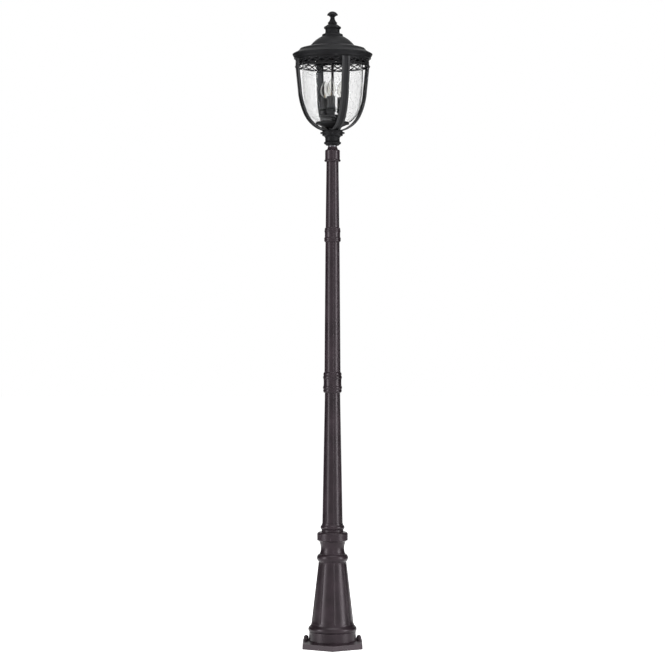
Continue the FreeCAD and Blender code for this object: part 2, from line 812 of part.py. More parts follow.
def shaft(label, level, foot, low_radius, top_radius, height, lower_bore, upper_bore, upper_grip, flute_foot="0"):
    """A tapered, fluted tube. foot is the start of its half outline, up to where the taper begins."""
    owner = new_body(label)
    step = [(upper_bore, f"{height} - {upper_grip}"), (lower_bore, f"{height} - {upper_grip}")]
    revolve(owner, foot + [
        (low_radius, flute_foot),
        (top_radius, height),
        (upper_bore, height),
        *(step if upper_bore != lower_bore else []),
    ], label + "_tube")
    share = "shaft_flute_depth / lower_shaft_foot"
    flute_cut(owner, flute_foot, low_radius, height, top_radius, share)
    raise_to(owner, level, FLUTE_AIM)
    return owner


def shafts():
    """The three fluted lengths of the post."""
    bead_top = "shaft_foot_height + shaft_bead_height"
    shaft("lower_shaft", COLLAR_TOP, [
        ("lower_shaft_bore", "-spigot_height"),
        (f"{COLLAR_BORE} - slip_gap", "-spigot_height"),
        (f"{COLLAR_BORE} - slip_gap", "0"),
        ("shaft_foot_radius", "0"),
        ("shaft_foot_radius", "shaft_foot_height"),
        ("shaft_bead_top", bead_top, "shaft_bead_round"),
    ], "lower_shaft_foot", "lower_shaft_top", "lower_shaft_height", "lower_shaft_bore",
        "lower_tube_radius + slip_gap", "lower_tube_grip", f"{bead_top} + shaft_ease_height")
    shaft("middle_shaft", MIDDLE_SHAFT, [
        ("lower_tube_radius + slip_gap", "0"),
    ], "middle_shaft_foot", "middle_shaft_top", "middle_shaft_height", "lower_tube_radius + slip_gap",
        "upper_tube_radius + slip_gap", "upper_tube_grip")
    shaft("upper_shaft", UPPER_SHAFT, [
        ("upper_tube_radius + slip_gap", "0"),
    ], "upper_shaft_foot", "upper_shaft_top", "upper_shaft_height", "upper_tube_radius + slip_gap",
        "upper_tube_radius + slip_gap", "cap_spigot_height")


def coupling(kind, level, height, tube):
    """Ring with a double bead at each end and a faint waist, and a screw hole at the back."""
    label = kind + "_coupling"
    rim, crown, waist = (f"{kind}_{name}_radius" for name in ("rim", "crown", "waist"))
    bead, bend = f"{kind}_bead_height", f"{kind}_bead_round"
    owner = turned(label, [
        (f"{tube} + slip_gap", "0"),
        (f"{rim} - coupling_edge_ease", "0"),
        (f"{rim} - coupling_groove", bead, bend),
        (f"{waist} + coupling_waist_ease", f"2 * {bead}", bend),
        (f"{waist} + coupling_waist_ease", f"{height} - 2 * {bead}", "-coupling_waist_round"),
        (f"{crown} - coupling_groove", f"{height} - {bead}", bend),
        (f"{crown} - coupling_edge_ease", height, bend),
        (f"{tube} + slip_gap", height),
    ], level)
    circle = new_sketch(owner, label + "_screw_circle")
    draw_circle(circle, "0", f"{height} / 2", "grub_radius + thread_gap")
    pocket(owner, circle, label + "_screw_hole", f"{rim} + {rim}")


def couplings():
    """Both couplings, the joint tubes inside them and the screws that hold the tubes."""
    coupling("lower", LOWER_COUPLING, "lower_coupling_height", "lower_tube_radius")
    coupling("upper", UPPER_COUPLING, "upper_coupling_height", "upper_tube_radius")
    screws = []
    for kind, level in (("lower", LOWER_COUPLING), ("upper", UPPER_COUPLING)):
        height, radius, grip = (f"{kind}_{name}" for name in ("coupling_height", "tube_radius", "tube_grip"))
        top = f"{height} + 2 * {grip}"
        turned(f"{kind}_joint_tube", [
            (f"{kind}_tube_bore", "0"),
            (radius, "0"),
            (radius, top),
            (f"{kind}_tube_bore", top),
        ], f"{level} - {grip}")
        start = value(radius) + value("thread_gap")
        reach = value(f"{kind}_waist_radius") - value("grub_recess") - start
        middle = FreeCAD.Vector(0, start, value(f"{level} + {height} / 2"))
        screws.append(Part.makeCylinder(value("grub_radius"), reach, middle, FreeCAD.Vector(0, 1, 0)))
    group = document.addObject("Part::Feature", "coupling_screws")
    group.Shape = Part.makeCompound(screws)
    subparts.append(group)


def post_cap():
    """Closes the shaft, with a spigot down into it and a bore for the neck nipple."""
    body_top = "cap_bead_height + cap_body_height"
    shoulder_top = f"{body_top} + cap_shoulder_height"
    turned("post_cap", [
        ("nipple_bore", "-cap_spigot_height"),
        ("upper_tube_radius", "-cap_spigot_height"),
        ("upper_tube_radius", "0"),
        ("cap_radius", "0"),
        ("cap_radius", "cap_bead_height", "cap_bead_round"),
        ("cap_radius", body_top),
        ("cap_shoulder_radius", shoulder_top, "cap_shoulder_round"),
        ("cap_cone_radius", POST_CAP_HEIGHT, "-cap_cone_round"),
        ("nipple_radius + thread_gap", POST_CAP_HEIGHT),
        ("nipple_radius + thread_gap", "cap_floor_height"),
        ("nipple_bore", "cap_floor_height"),
    ], POST_CAP)


def neck():
    """Threaded tube between post cap and base cup, and the round nut on its upper end."""
    length = f"{POST_CAP_HEIGHT} - cap_floor_height + neck_height + cup_floor_height + ring_nut_height"
    turned("neck_nipple", [
        ("nipple_bore", "0"),
        ("nipple_radius", "0"),
        ("nipple_radius", length),
        ("nipple_bore", length),
    ], f"{POST_CAP} + cap_floor_height")
    turned("nipple_ring_nut", [
        ("nipple_radius + thread_gap", "0"),
        (RING_NUT, "0"),
        (RING_NUT, "ring_nut_height"),
        ("nipple_radius + thread_gap", "ring_nut_height"),
    ], f"{BASE_CUP} + cup_floor_height")


def wire_hole(owner, low, reverse=True):
    """A hole for the leads, behind the centre rod."""
    sketch = new_sketch(owner, owner.Label + "_wire_circle", "XY_Plane", low)
    draw_circle(sketch, "0", "wire_hole_offset", "wire_hole_radius")
    pocket(owner, sketch, owner.Label + "_wire_hole", reverse=reverse)


def rib_angle(index):
    """The angle of one rib about the axis, as an expression."""
    return f"{FRONT + index * FULL_TURN / RIBS} + rib_degrees"


def base_cup():
    """Turned cup that carries the lantern: bead, neck, flared shoulder and flange."""
    bead_top = "cup_foot_height + cup_bead_height"
    neck_foot = f"{bead_top} + cup_cove_height"
    neck_top = f"{neck_foot} + cup_neck_height"
    flange = f"{CUP_SHOULDER} + cup_shoulder_height"
    owner = turned("base_cup", [
        ("nipple_radius + thread_gap", "0"),
        ("cup_foot_radius", "0"),
        ("cup_step_radius", "cup_foot_height"),
        ("cup_step_radius", bead_top, "cup_bead_round"),
        ("cup_neck_radius", neck_foot, "-cup_cove_round"),
        ("cup_neck_radius", neck_top),
        ("cup_shoulder_radius", CUP_SHOULDER, "-cup_flare_round"),
        ("cup_shoulder_radius", flange),
        ("cup_flange_radius", flange),
        ("cup_flange_radius", f"{flange} + cup_flange_height"),
        ("cup_shoulder_radius", f"{flange} + cup_flange_height"),
        ("cup_shoulder_radius", CUP_HEIGHT),
        ("rod_radius + thread_gap", CUP_HEIGHT),
        ("rod_radius + thread_gap", f"{CUP_HEIGHT} - cup_lid_height"),
        ("cup_bore", f"{CUP_HEIGHT} - cup_lid_height"),
        ("cup_bore", "cup_floor_height"),
        ("nipple_radius + thread_gap", "cup_floor_height"),
    ], BASE_CUP)
    wire_hole(owner, f"{CUP_HEIGHT} - cup_lid_height")
    holes = new_sketch(owner, "rib_screw_holes", "XY_Plane", f"{CUP_HEIGHT} - rib_foot_thread - hold_spare")
    for index in range(RIBS):
        across, up = polar(RIB_SCREW_CIRCLE, rib_angle(index))
        draw_circle(holes, across, up, "rib_screw_radius + thread_gap")
    pocket(owner, holes, "rib_screw_taps", "rib_foot_thread + hold_spare", True)


def rib_path(depth):
    """The rib's side line from its top to its foot, at a depth inside its outer face."""
    def inset(radius, level, degrees, *bend):
        return (f"{radius} - ({depth}) * sin({degrees} * 1 deg)",
                f"{level} + ({depth}) * cos({degrees} * 1 deg)", *bend)
    return [
        (f"{RIB_TOP_RADIUS} - ({depth})", RIB_TOP_LEVEL),
        (f"{RIB_TOP_RADIUS} - ({depth})", RIB_STRAIGHT_LEVEL),
        inset("rib_knee_radius", "rib_knee_level", "rib_knee_degrees"),
        inset("rib_waist_radius", "rib_waist_level", "rib_waist_degrees", f"-(rib_body_round - ({depth}))"),
        inset("rib_foot_radius", "rib_foot_level", "rib_foot_degrees", f"-(rib_tail_round - ({depth}))"),
        ("rib_bend_radius", depth, f"-(rib_foot_round - ({depth}))"),
        (RIB_TAB, depth),
    ]


def rib_strip(outer, inner):
    """Closed side outline between two depths inside the rib's outer face."""
    down = rib_path(outer)
    up = []
    path = rib_path(inner)
    for index in range(len(path) - 1, -1, -1):
        bend = path[index + 1][2:] if index + 1 < len(path) else ()
        up.append((*path[index][:2], *(text[1:] for text in bend)))
    return down + up


def rib(label, index):
    """Flat cast strap, bent to the glass, with raised edges on its outer face."""
    owner = new_body(label)
    side = draw(new_sketch(owner, label + "_side"), rib_strip("0", "rib_height"))
    strap = pad(owner, side, label + "_strap", "rib_width")
    strap.SideType = "Symmetric"
    sunk = draw(new_sketch(owner, label + "_sunk_side"), rib_strip("-rib_recess", "rib_recess"))
    recess = pocket(owner, sunk, label + "_recess", "rib_width - 2 * rib_border")
    recess.SideType = "Symmetric"
    foot = new_sketch(owner, label + "_foot_hole", "XY_Plane", "-rib_recess")
    draw_circle(foot, RIB_SCREW_CIRCLE, "0", "rib_screw_radius + fine_gap")
    pocket(owner, foot, label + "_foot_bore", "3 * rib_height", True)
    top = new_sketch(owner, label + "_top_hole", "YZ_Plane")
    draw_circle(top, "0", "band_level + band_height / 2", "rib_screw_radius + thread_gap")
    pocket(owner, top, label + "_top_bore", "band_outer + rib_top_grip + thread_gap", True)
    raise_to(owner, CUP_TOP, value(rib_angle(index)))


def rib_foot_screw():
    """Button screw through the rib's foot into the cup."""
    return headed_screw(value("rib_screw_radius"), value("rib_height + rib_foot_thread"),
                        value("rib_head_radius"), value("rib_head_height"), value("rib_key"))


def rib_top_screw():
    """Button screw from inside the band into the rib's top."""
    length = value("band_outer - band_inner + rib_top_grip")
    return headed_screw(value("rib_screw_radius"), length, value("rib_head_radius"),
                        value("rib_head_height"), value("rib_key"))


def ribs():
    """The four ribs and their screws."""
    for index in range(RIBS):
        rib(f"rib_{index + 1}", index)
    angles = [value(rib_angle(index)) for index in range(RIBS)]
    top = value(f"{CUP_TOP} + rib_height + rib_head_height + fine_gap")
    circle = value(RIB_SCREW_CIRCLE)
    place_copies("rib_foot_screws", rib_foot_screw, [spot(circle, angle, top, 180.0) for angle in angles])
    middle = value(f"{CUP_TOP} + band_level + band_height / 2")
    inner = value("band_inner - rib_head_height - fine_gap")
    place_copies("rib_top_screws", rib_top_screw, [spot(inner, angle, middle, 90.0) for angle in angles])


def glass_dish():
    """Shallow dish on a hollow stem that carries the glass and the candles."""
    slope_top = "dish_stem_height + dish_slope_height"
    under_top = f"{slope_top} + dish_under_height"
    owner = turned("glass_dish", [
        (ROD_HOLE, "dish_bore_height"),
        ("dish_bore", "dish_bore_height"),
        ("dish_bore", "0"),
        ("dish_stem_radius", "0"),
        ("dish_stem_radius", "dish_stem_height"),
        ("dish_slope_radius", slope_top),
        ("dish_under_radius", under_top),
        ("dish_radius", under_top),
        ("dish_radius", DISH_HEIGHT),
        (ROD_HOLE, DISH_HEIGHT),
    ], CUP_TOP)
    wire_hole(owner, "0")


def glass():
    """Clear bowl with an inward lip at its foot, on a flat gasket."""
    turned("glass_gasket", [
        ("glass_lip_inner", "0"),
        ("dish_radius - gasket_margin", "0"),
        ("dish_radius - gasket_margin", "gasket_height"),
        ("glass_lip_inner", "gasket_height"),
    ], DISH_TOP)
    side_top = "glass_shoulder_height + glass_side_height"
    rim = f"{side_top} + glass_rim_height"
    turned("glass_bowl", [
        ("glass_lip_inner", "0"),
        ("glass_foot_radius", "0"),
        ("glass_shoulder_radius", "glass_shoulder_height", "glass_belly_round"),
        ("glass_top_radius", side_top, "glass_side_round"),
        ("glass_top_radius", rim),
        ("glass_top_radius - glass_wall", rim),
        ("glass_top_radius - glass_wall", side_top),
        ("glass_shoulder_radius - glass_wall", "glass_shoulder_height", "-(glass_side_round - glass_wall)"),
        ("glass_foot_radius - glass_wall", "glass_wall", "-(glass_belly_round - glass_wall)"),
        ("glass_lip_inner", "glass_wall"),
    ], GLASS_FOOT)


def lens(owner, name, lift, width, height, turn):
    """A pointed opening through the band's wall, repeated round it."""
    sketch = new_sketch(owner, name + "_outline", "YZ_Plane", turn=turn)
    bend = f"(({width}) ^ 2 + ({height}) ^ 2) / (4 * {height})"
    middle = f"band_height / 2 + {lift}" if lift else "band_height / 2"
    draw(sketch, [
        (f"-{width} / 2", middle, bend),
        (f"{width} / 2", middle, bend),
    ])
    hole = pocket(owner, sketch, name, "band_rim_radius + band_rim_height", True)
    repeat(owner, hole, name + "s", "eye_count")


def gallery_band():
    """Pierced ring under the roof: eyes between two waves, small lenses at the crossings."""
    owner = new_body("gallery_band")
    crown = "band_height - band_crown_height"
    revolve(owner, [
        ("band_inner", "0"),
        ("band_rim_radius - band_rim_ease", "0"),
        ("band_rim_radius - band_rim_ease", "band_rim_height", "band_rim_round"),
        ("band_outer", "band_rim_height"),
        ("band_outer", crown),
        ("band_crown_radius", crown),
        ("band_crown_radius", "band_height"),
        ("band_inner", "band_height"),
    ], "band_ring")
    half_pitch = FULL_TURN / SIZES["eye_count"] / 2
    lens(owner, "eye", "", "eye_width", "eye_height", half_pitch)
    lens(owner, "upper_lens", "lens_offset", "lens_width", "lens_height", 0.0)
    lens(owner, "lower_lens", "-lens_offset", "lens_width", "lens_height", 0.0)
    seat = new_sketch(owner, "rib_seat_outline", "YZ_Plane", "band_outer")
    half = "(rib_width / 2 + slip_gap)"
    draw(seat, [
        (f"-{half}", "-slip_gap"),
        (half, "-slip_gap"),
        (half, "band_height + slip_gap"),
        (f"-{half}", "band_height + slip_gap"),
    ])
    cut = pocket(owner, seat, "rib_seat", "notch_depth", True)
    repeat(owner, cut, "rib_seats", RIBS)
    screw = new_sketch(owner, "band_screw_circle", "YZ_Plane")
    draw_circle(screw, "0", "band_height / 2", "rib_screw_radius + fine_gap")
    bore = pocket(owner, screw, "band_screw_hole", "band_rim_radius", True)
    repeat(owner, bore, "band_screw_holes", RIBS)
    raise_to(owner, BAND_FOOT, value(rib_angle(0)))


def roof():
    """Stepped dome: eave, apron, riser, ledge and crown, with a lip down inside the band."""
    eave_step = "eave_step_height + eave_fillet_height"
    ledge_top = f"{LEDGE_FOOT} + ledge_height"
    turned("roof", [
        (f"{ROOF_LIP} - roof_lip_wall", "-roof_lip_height"),
        (ROOF_LIP, "-roof_lip_height"),
        (ROOF_LIP, "0"),
        ("eave_foot_radius", "0"),
        ("eave_step_radius", "eave_step_height"),
        ("eave_step_radius", eave_step),
        ("eave_under_radius", f"{eave_step} + eave_under_height"),
        ("eave_radius", "eave_height"),
        ("eave_radius", EAVE_TOP),
        ("apron_radius", f"{EAVE_TOP} + apron_height"),
        ("step_radius", LEDGE_FOOT),
        ("ledge_radius", ledge_top),
        ("dome_radius", ROOF_HEIGHT, "dome_round"),
        (ROD_HOLE, ROOF_HEIGHT),
        (ROD_HOLE, f"{ROOF_HEIGHT} - roof_wall"),
        ("dome_radius - roof_wall", f"{ROOF_HEIGHT} - roof_wall"),
        ("ledge_radius - roof_wall", f"{ledge_top} - roof_wall", "-dome_round"),
        ("step_radius - roof_wall", f"{LEDGE_FOOT} - roof_wall"),
        (f"{ROOF_LIP} - roof_lip_wall", "eave_height"),
    ], ROOF_FOOT)


def vent_turret():
    """Small turret on the roof: collar, neck, flange and a cone, hollow underneath."""
    cove = "turret_collar_height + turret_collar_rise"
    neck_foot = f"{cove} + turret_cove_height"
    neck_top = f"{neck_foot} + turret_neck_height"
    flange = f"{neck_top} + turret_flare_height"
    shell = "turret_neck_radius - turret_wall"
    turned("vent_turret", [
        (shell, "0"),
        ("turret_collar_radius", "0"),
        ("turret_collar_radius", "turret_collar_height"),
        ("turret_collar_top", cove, "turret_collar_round"),
        ("turret_neck_radius", neck_foot, "-turret_cove_round"),
        ("turret_neck_radius", neck_top),
        ("turret_flange_radius", flange, "-turret_flare_round"),
        ("turret_flange_radius", f"{flange} + turret_flange_height"),
        ("turret_cone_radius", TURRET_HEIGHT),
        (ROD_HOLE, TURRET_HEIGHT),
        (ROD_HOLE, f"{TURRET_HEIGHT} - turret_cone_height"),
        (shell, neck_top),
    ], ROOF_TOP)


def finial():
    """Mushroom knob on the rod's end, and the thin washer below it."""
    turned("finial_washer", [
        (ROD_HOLE, "0"),
        ("finial_washer_radius", "0"),
        ("finial_washer_radius", "finial_washer_height"),
        (ROD_HOLE, "finial_washer_height"),
    ], TURRET_TOP)
    flare = "finial_foot_height + finial_flare_height"
    stem = f"{flare} + finial_cove_height"
    under = f"{stem} + finial_stem_height + finial_under_height"
    edge = f"{under} + finial_edge_height"
    turned("finial", [
        ("rod_radius + thread_gap", "0"),
        ("finial_foot_radius", "0"),
        ("finial_flare_radius", "finial_foot_height"),
        ("finial_flare_radius", flare),
        ("finial_stem_radius", stem, "-finial_flare_round"),
        ("finial_stem_radius", f"{stem} + finial_stem_height"),
        ("finial_cap_radius - finial_cap_ease", under, "-finial_under_round"),
        ("finial_cap_radius", edge),
        ("0", f"{edge} + finial_dome_height", FINIAL_DOME),
        ("0", "finial_thread_depth"),
        ("rod_radius + thread_gap", "finial_thread_depth"),
    ], FINIAL_FOOT)


def centre_rod():
    """Threaded rod from the base cup up into the finial, with one nut under the cup's lid and one in the pan."""
    foot = f"{CUP_TOP} - cup_lid_height - rod_tail"
    rod = document.addObject("Part::Cylinder", "centre_rod")
    rod.setExpression("Radius", bound("rod_radius"))
    rod.setExpression("Height", bound(f"{FINIAL_FOOT} + finial_thread_depth - rod_end_gap - ({foot})"))
    rod.setExpression("Placement.Base.z", bound(foot))
    subparts.append(rod)
    nut_levels = (f"{CUP_TOP} - cup_lid_height - rod_nut_height", f"{DISH_TOP} + pan_floor")
    place_copies("rod_nuts", rod_nut, [spot(0, 0, value(level)) for level in nut_levels])


def rod_nut():
    """Plain hexagon nut on the centre rod."""
    height = value("rod_nut_height")
    bore = Part.makeCylinder(value("rod_radius + thread_gap"), height)
    return hexagon_prism(value("rod_nut_corner"), height).cut(bore)


def candle_pan():
    """Flared bowl with a rolled lip, its cover, and the terminal block inside."""
    throat = "pan_height - pan_lip_height"
    owner = turned("candle_pan", [
        (ROD_HOLE, "0"),
        ("pan_foot_radius", "0"),
        ("pan_lip_radius", throat, "-pan_round"),
        ("pan_lip_radius", "pan_height", "pan_lip_round"),
        (PAN_COVER_EDGE, "pan_height"),
        (PAN_COVER_EDGE, "pan_height - cover_height"),
        ("pan_foot_radius - pan_wall", "pan_height - cover_height"),
        ("pan_foot_radius - pan_wall", "pan_floor"),
        (ROD_HOLE, "pan_floor"),
    ], DISH_TOP)
    wire_hole(owner, "0")
    cover = turned("pan_cover", [
        (ROD_HOLE, "0"),
        (f"{PAN_COVER_EDGE} - slip_gap", "0"),
        (f"{PAN_COVER_EDGE} - slip_gap", "cover_height"),
        (ROD_HOLE, "cover_height"),
    ], PAN_COVER)
    holes = new_sketch(cover, "lead_holes", "XY_Plane")
    for index in range(CANDLES):
        across, up = polar("candle_circle", candle_angle(index))
        draw_circle(holes, across, up, "candle_cup_bore")
    pocket(cover, holes, "lead_bores", reverse=True)
    terminal_block()


def terminal_block():
    """Moulded three-way block on the pan's floor, in front of the rod."""
    owner = new_body("terminal_block")
    side = new_sketch(owner, "block_outline", "XY_Plane")
    near = "-(terminal_offset - terminal_width / 2)"
    far = "-(terminal_offset + terminal_width / 2)"
    draw(side, [
        ("-terminal_length / 2", far),
        ("terminal_length / 2", far),
        ("terminal_length / 2", near),
        ("-terminal_length / 2", near),
    ])
    pad(owner, side, "block", "terminal_height")
    bores = new_sketch(owner, "terminal_circles")
    for index in range(SIZES["terminal_count"]):
        share = (index + 0.5) / SIZES["terminal_count"] - 0.5
        draw_circle(bores, f"terminal_length * {share:.6f}" if share else "0", "terminal_height / 2", "terminal_bore")
    pocket(owner, bores, "terminal_bores", reverse=True)
    raise_to(owner, f"{DISH_TOP} + pan_floor")


def candle_angle(index):
    """The angle of one candle about the axis, as an expression."""
    return f"{FRONT + index * FULL_TURN / CANDLES} - candle_degrees"


def stand(owner, index):
    """Move a sub-part that was turned about the post's axis to its candle's axis."""
    across, up = polar("candle_circle", candle_angle(index))
    owner.setExpression("Placement.Base.x", bound(across))
    owner.setExpression("Placement.Base.y", bound(up))


def candle(index):
    """One candle: turned cup, plain sleeve, the lampholder inside it, and its lamp."""
    number = index + 1
    neck = "candle_cup_foot_height + candle_cup_neck_height"
    waist = f"{neck} + candle_cup_bulge_height"
    flange = "candle_cup_height - candle_cup_flange_height"
    cup = turned(f"candle_cup_{number}", [
        ("candle_cup_bore", "0"),
        ("candle_cup_foot", "0"),
        ("candle_cup_foot", "candle_cup_foot_height"),
        ("candle_cup_neck", neck),
        ("candle_cup_waist", waist, "candle_cup_bulge_round"),
        ("candle_cup_flange", flange),
        ("candle_cup_flange", "candle_cup_height"),
        ("candle_cup_bore", "candle_cup_height"),
    ], CANDLE_FOOT)
    sleeve = turned(f"candle_sleeve_{number}", [
        ("sleeve_radius - sleeve_wall", "0"),
        ("sleeve_radius", "0"),
        ("sleeve_radius", "sleeve_height"),
        ("sleeve_radius - sleeve_wall", "sleeve_height"),
    ], SLEEVE_FOOT)
    body = "sleeve_radius - sleeve_wall - slip_gap"
    socket = "lamp_cap_radius + thread_gap"
    floor = "sleeve_height + lamp_rise - lamp_cap_height - fine_gap"
    holder = turned(f"lampholder_{number}", [
        ("0", "0"),
        (body, "0"),
        (body, "sleeve_height - holder_inset"),
        (socket, "sleeve_height - holder_inset"),
        (socket, floor),
        ("0", floor),
    ], SLEEVE_FOOT)
    for owner in (cup, sleeve, holder):
        stand(owner, index)
    lamp(index)


def lamp(index):
    """Clear candle lamp: screw cap, glass, and the stem with its filament."""
    number = index + 1
    cap_floor = "lamp_tip_height + lamp_shoulder_height"
    cap = turned(f"lamp_cap_{number}", [
        ("0", "0"),
        ("lamp_tip_radius", "0"),
        ("lamp_tip_radius", "lamp_tip_height"),
        ("lamp_cap_radius", cap_floor),
        ("lamp_cap_radius", "lamp_cap_height"),
        ("lamp_cap_radius - lamp_cap_wall", "lamp_cap_height"),
        ("lamp_cap_radius - lamp_cap_wall", f"{cap_floor} + lamp_cap_wall"),
        ("0", f"{cap_floor} + lamp_cap_wall"),
    ], LAMP_FOOT)
    throat = "lamp_cap_height - lamp_throat_depth"
    neck = "lamp_cap_height + lamp_neck_height"
    belly = f"{neck} + lamp_belly_height"
    nose = f"{belly} + lamp_nose_height"
    wall = "lamp_glass_wall"
    bulb = turned(f"lamp_glass_{number}", [
        (f"{LAMP_THROAT} - {wall}", throat),
        (LAMP_THROAT, throat),
        (LAMP_THROAT, "lamp_cap_height"),
        ("lamp_neck_radius", neck),
        ("lamp_radius", belly, "lamp_belly_round"),
        ("lamp_nose_radius", nose, "lamp_nose_round"),
        ("0", f"{nose} + lamp_tip_dome"),
        ("0", f"{nose} + lamp_tip_dome - {wall}"),
        (f"lamp_nose_radius - {wall}", nose),
        (f"lamp_radius - {wall}", belly, f"-(lamp_nose_round - {wall})"),
        (f"lamp_neck_radius - {wall}", neck, f"-(lamp_belly_round - {wall})"),
        (f"{LAMP_THROAT} - {wall}", "lamp_cap_height"),
    ], LAMP_FOOT)
    for owner in (cap, bulb):
        stand(owner, index)
    across, up = polar("candle_circle", candle_angle(index))
    place = FreeCAD.Placement(
        FreeCAD.Vector(value(across), value(up), value(f"{LAMP_FOOT} + {cap_floor} + lamp_cap_wall")),
        FreeCAD.Rotation(FreeCAD.Vector(0, 0, 1), value(candle_angle(index))),
    )
    mount = document.addObject("Part::Feature", f"lamp_filament_{number}")
    mount.Shape = filament()
    mount.Placement = place
    subparts.append(mount)


def filament():
    """Glass stem with two wires that spread from its top and hold a straight filament between them."""
    top = value("stem_height")
    spread = value("wire_spread")
    reach = value("wire_height")
    shape = Part.makeCone(value("stem_radius"), value("stem_top_radius"), top)
    foot = value("stem_top_radius") - value("wire_radius")
    for side in (-1, 1):
        start = FreeCAD.Vector(side * foot, 0, top - value("wire_radius"))
        end = FreeCAD.Vector(side * spread, 0, top + reach)
        line = end - start
        shape = shape.fuse(Part.makeCylinder(value("wire_radius"), line.Length, start, line))
    start = FreeCAD.Vector(-spread - value("coil_radius"), 0, top + reach)
    length = 2 * (spread + value("coil_radius"))
    return shape.fuse(Part.makeCylinder(value("coil_radius"), length, start, FreeCAD.Vector(1, 0, 0)))


def build():
    """Make every sub-part in order, from the ground up."""
    foot_plate()
    anchor_set()
    pedestal_screws()
    pedestal()
    pedestal_collar()
    shafts()
    couplings()
    post_cap()
    neck()
    base_cup()
    ribs()
    glass_dish()
    glass()
    gallery_band()
    roof()
    vent_turret()
    finial()
    centre_rod()
    candle_pan()
    for index in range(CANDLES):
        candle(index)


def check():
    """Stop if any feature failed or any sub-part has no sound solid."""
    document.recompute()
    for item in document.Objects:
        if "Invalid" in item.State or "Error" in item.State:
            raise RuntimeError(f"{item.Name} failed: {item.State}")
    for item in subparts:
        if item.Shape.isNull() or not item.Shape.isValid() or not item.Shape.Solids:
            raise RuntimeError(f"{item.Label} has no sound solid")


def export():
    """Write each sub-part to its own file."""
    os.makedirs("parts", exist_ok=True)
    for item in subparts:
        item.Shape.exportStep(f"parts/{item.Label}.step")
        box = item.Shape.BoundBox
        print(f"{item.Label}: {len(item.Shape.Solids)} solid(s), {item.Shape.Volume / 1000:.1f} cm3, "
              f"z {box.ZMin:.1f} to {box.ZMax:.1f}")


fill_sheet()
build()
check()
export()
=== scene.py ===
import json
import math

import bmesh
import bpy
from mathutils import Matrix, Vector


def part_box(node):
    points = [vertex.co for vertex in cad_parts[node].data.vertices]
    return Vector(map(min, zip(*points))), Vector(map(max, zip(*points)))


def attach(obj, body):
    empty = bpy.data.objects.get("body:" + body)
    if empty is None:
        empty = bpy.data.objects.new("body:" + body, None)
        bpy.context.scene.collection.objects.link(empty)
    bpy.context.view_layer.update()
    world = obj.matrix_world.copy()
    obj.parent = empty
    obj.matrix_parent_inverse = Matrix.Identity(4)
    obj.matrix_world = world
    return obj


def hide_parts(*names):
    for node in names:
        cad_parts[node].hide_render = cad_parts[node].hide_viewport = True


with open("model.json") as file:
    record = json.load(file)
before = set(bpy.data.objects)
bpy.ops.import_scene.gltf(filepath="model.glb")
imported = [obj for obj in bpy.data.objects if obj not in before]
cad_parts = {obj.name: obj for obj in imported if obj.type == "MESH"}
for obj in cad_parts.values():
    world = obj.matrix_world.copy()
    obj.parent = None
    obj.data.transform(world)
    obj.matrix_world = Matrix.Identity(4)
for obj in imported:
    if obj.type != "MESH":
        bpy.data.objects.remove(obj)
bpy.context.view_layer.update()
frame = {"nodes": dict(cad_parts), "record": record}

mm = 0.001
merge = 0.002 * mm  # points of a solid's mesh that lie closer than this are one
onAxis = 0.01 * mm  # a point nearer to the axis than this lies on it
centred = 2 * mm  # a node whose middle is nearer to the post's axis than this is turned about it


def linearColour(hexText, alpha=1.0):
    channels = [int(hexText[i:i + 2], 16) / 255 for i in (0, 2, 4)]
    return [c / 12.92 if c <= 0.04045 else ((c + 0.055) / 1.055) ** 2.4 for c in channels] + [alpha]


def addNode(tree, kind, settings=None, **inputs):
    # one node with its settings and links: an input is a value, or the node or socket that feeds it
    node = tree.nodes.new(kind)
    for name, value in (settings or {}).items():
        if name != "stops":
            setattr(node, name, value)
            continue
        while len(node.color_ramp.elements) < len(value):
            node.color_ramp.elements.new(0.5)
        for element, (place, colour) in zip(node.color_ramp.elements, value):
            element.position = place
            element.color = colour if isinstance(colour, list) else [colour, colour, colour, 1.0]
    for name, value in inputs.items():
        key = int(name[1:]) if name[0] == "i" and name[1:].isdigit() else name.replace("_", " ")
        if isinstance(value, bpy.types.Node):
            value = value.outputs[0]
        if isinstance(value, bpy.types.NodeSocket):
            tree.links.new(value, node.inputs[key])
        else:
            node.inputs[key].default_value = value
    return node


def newMaterial(name):
    material = bpy.data.materials.new(name)
    material.use_nodes = True
    material.node_tree.nodes.clear()
    return material, material.node_tree


def perMetre(sizeInMm):
    # a noise or voronoi scale whose features are about this many millimetres across
    return 1.0 / (sizeInMm * mm)


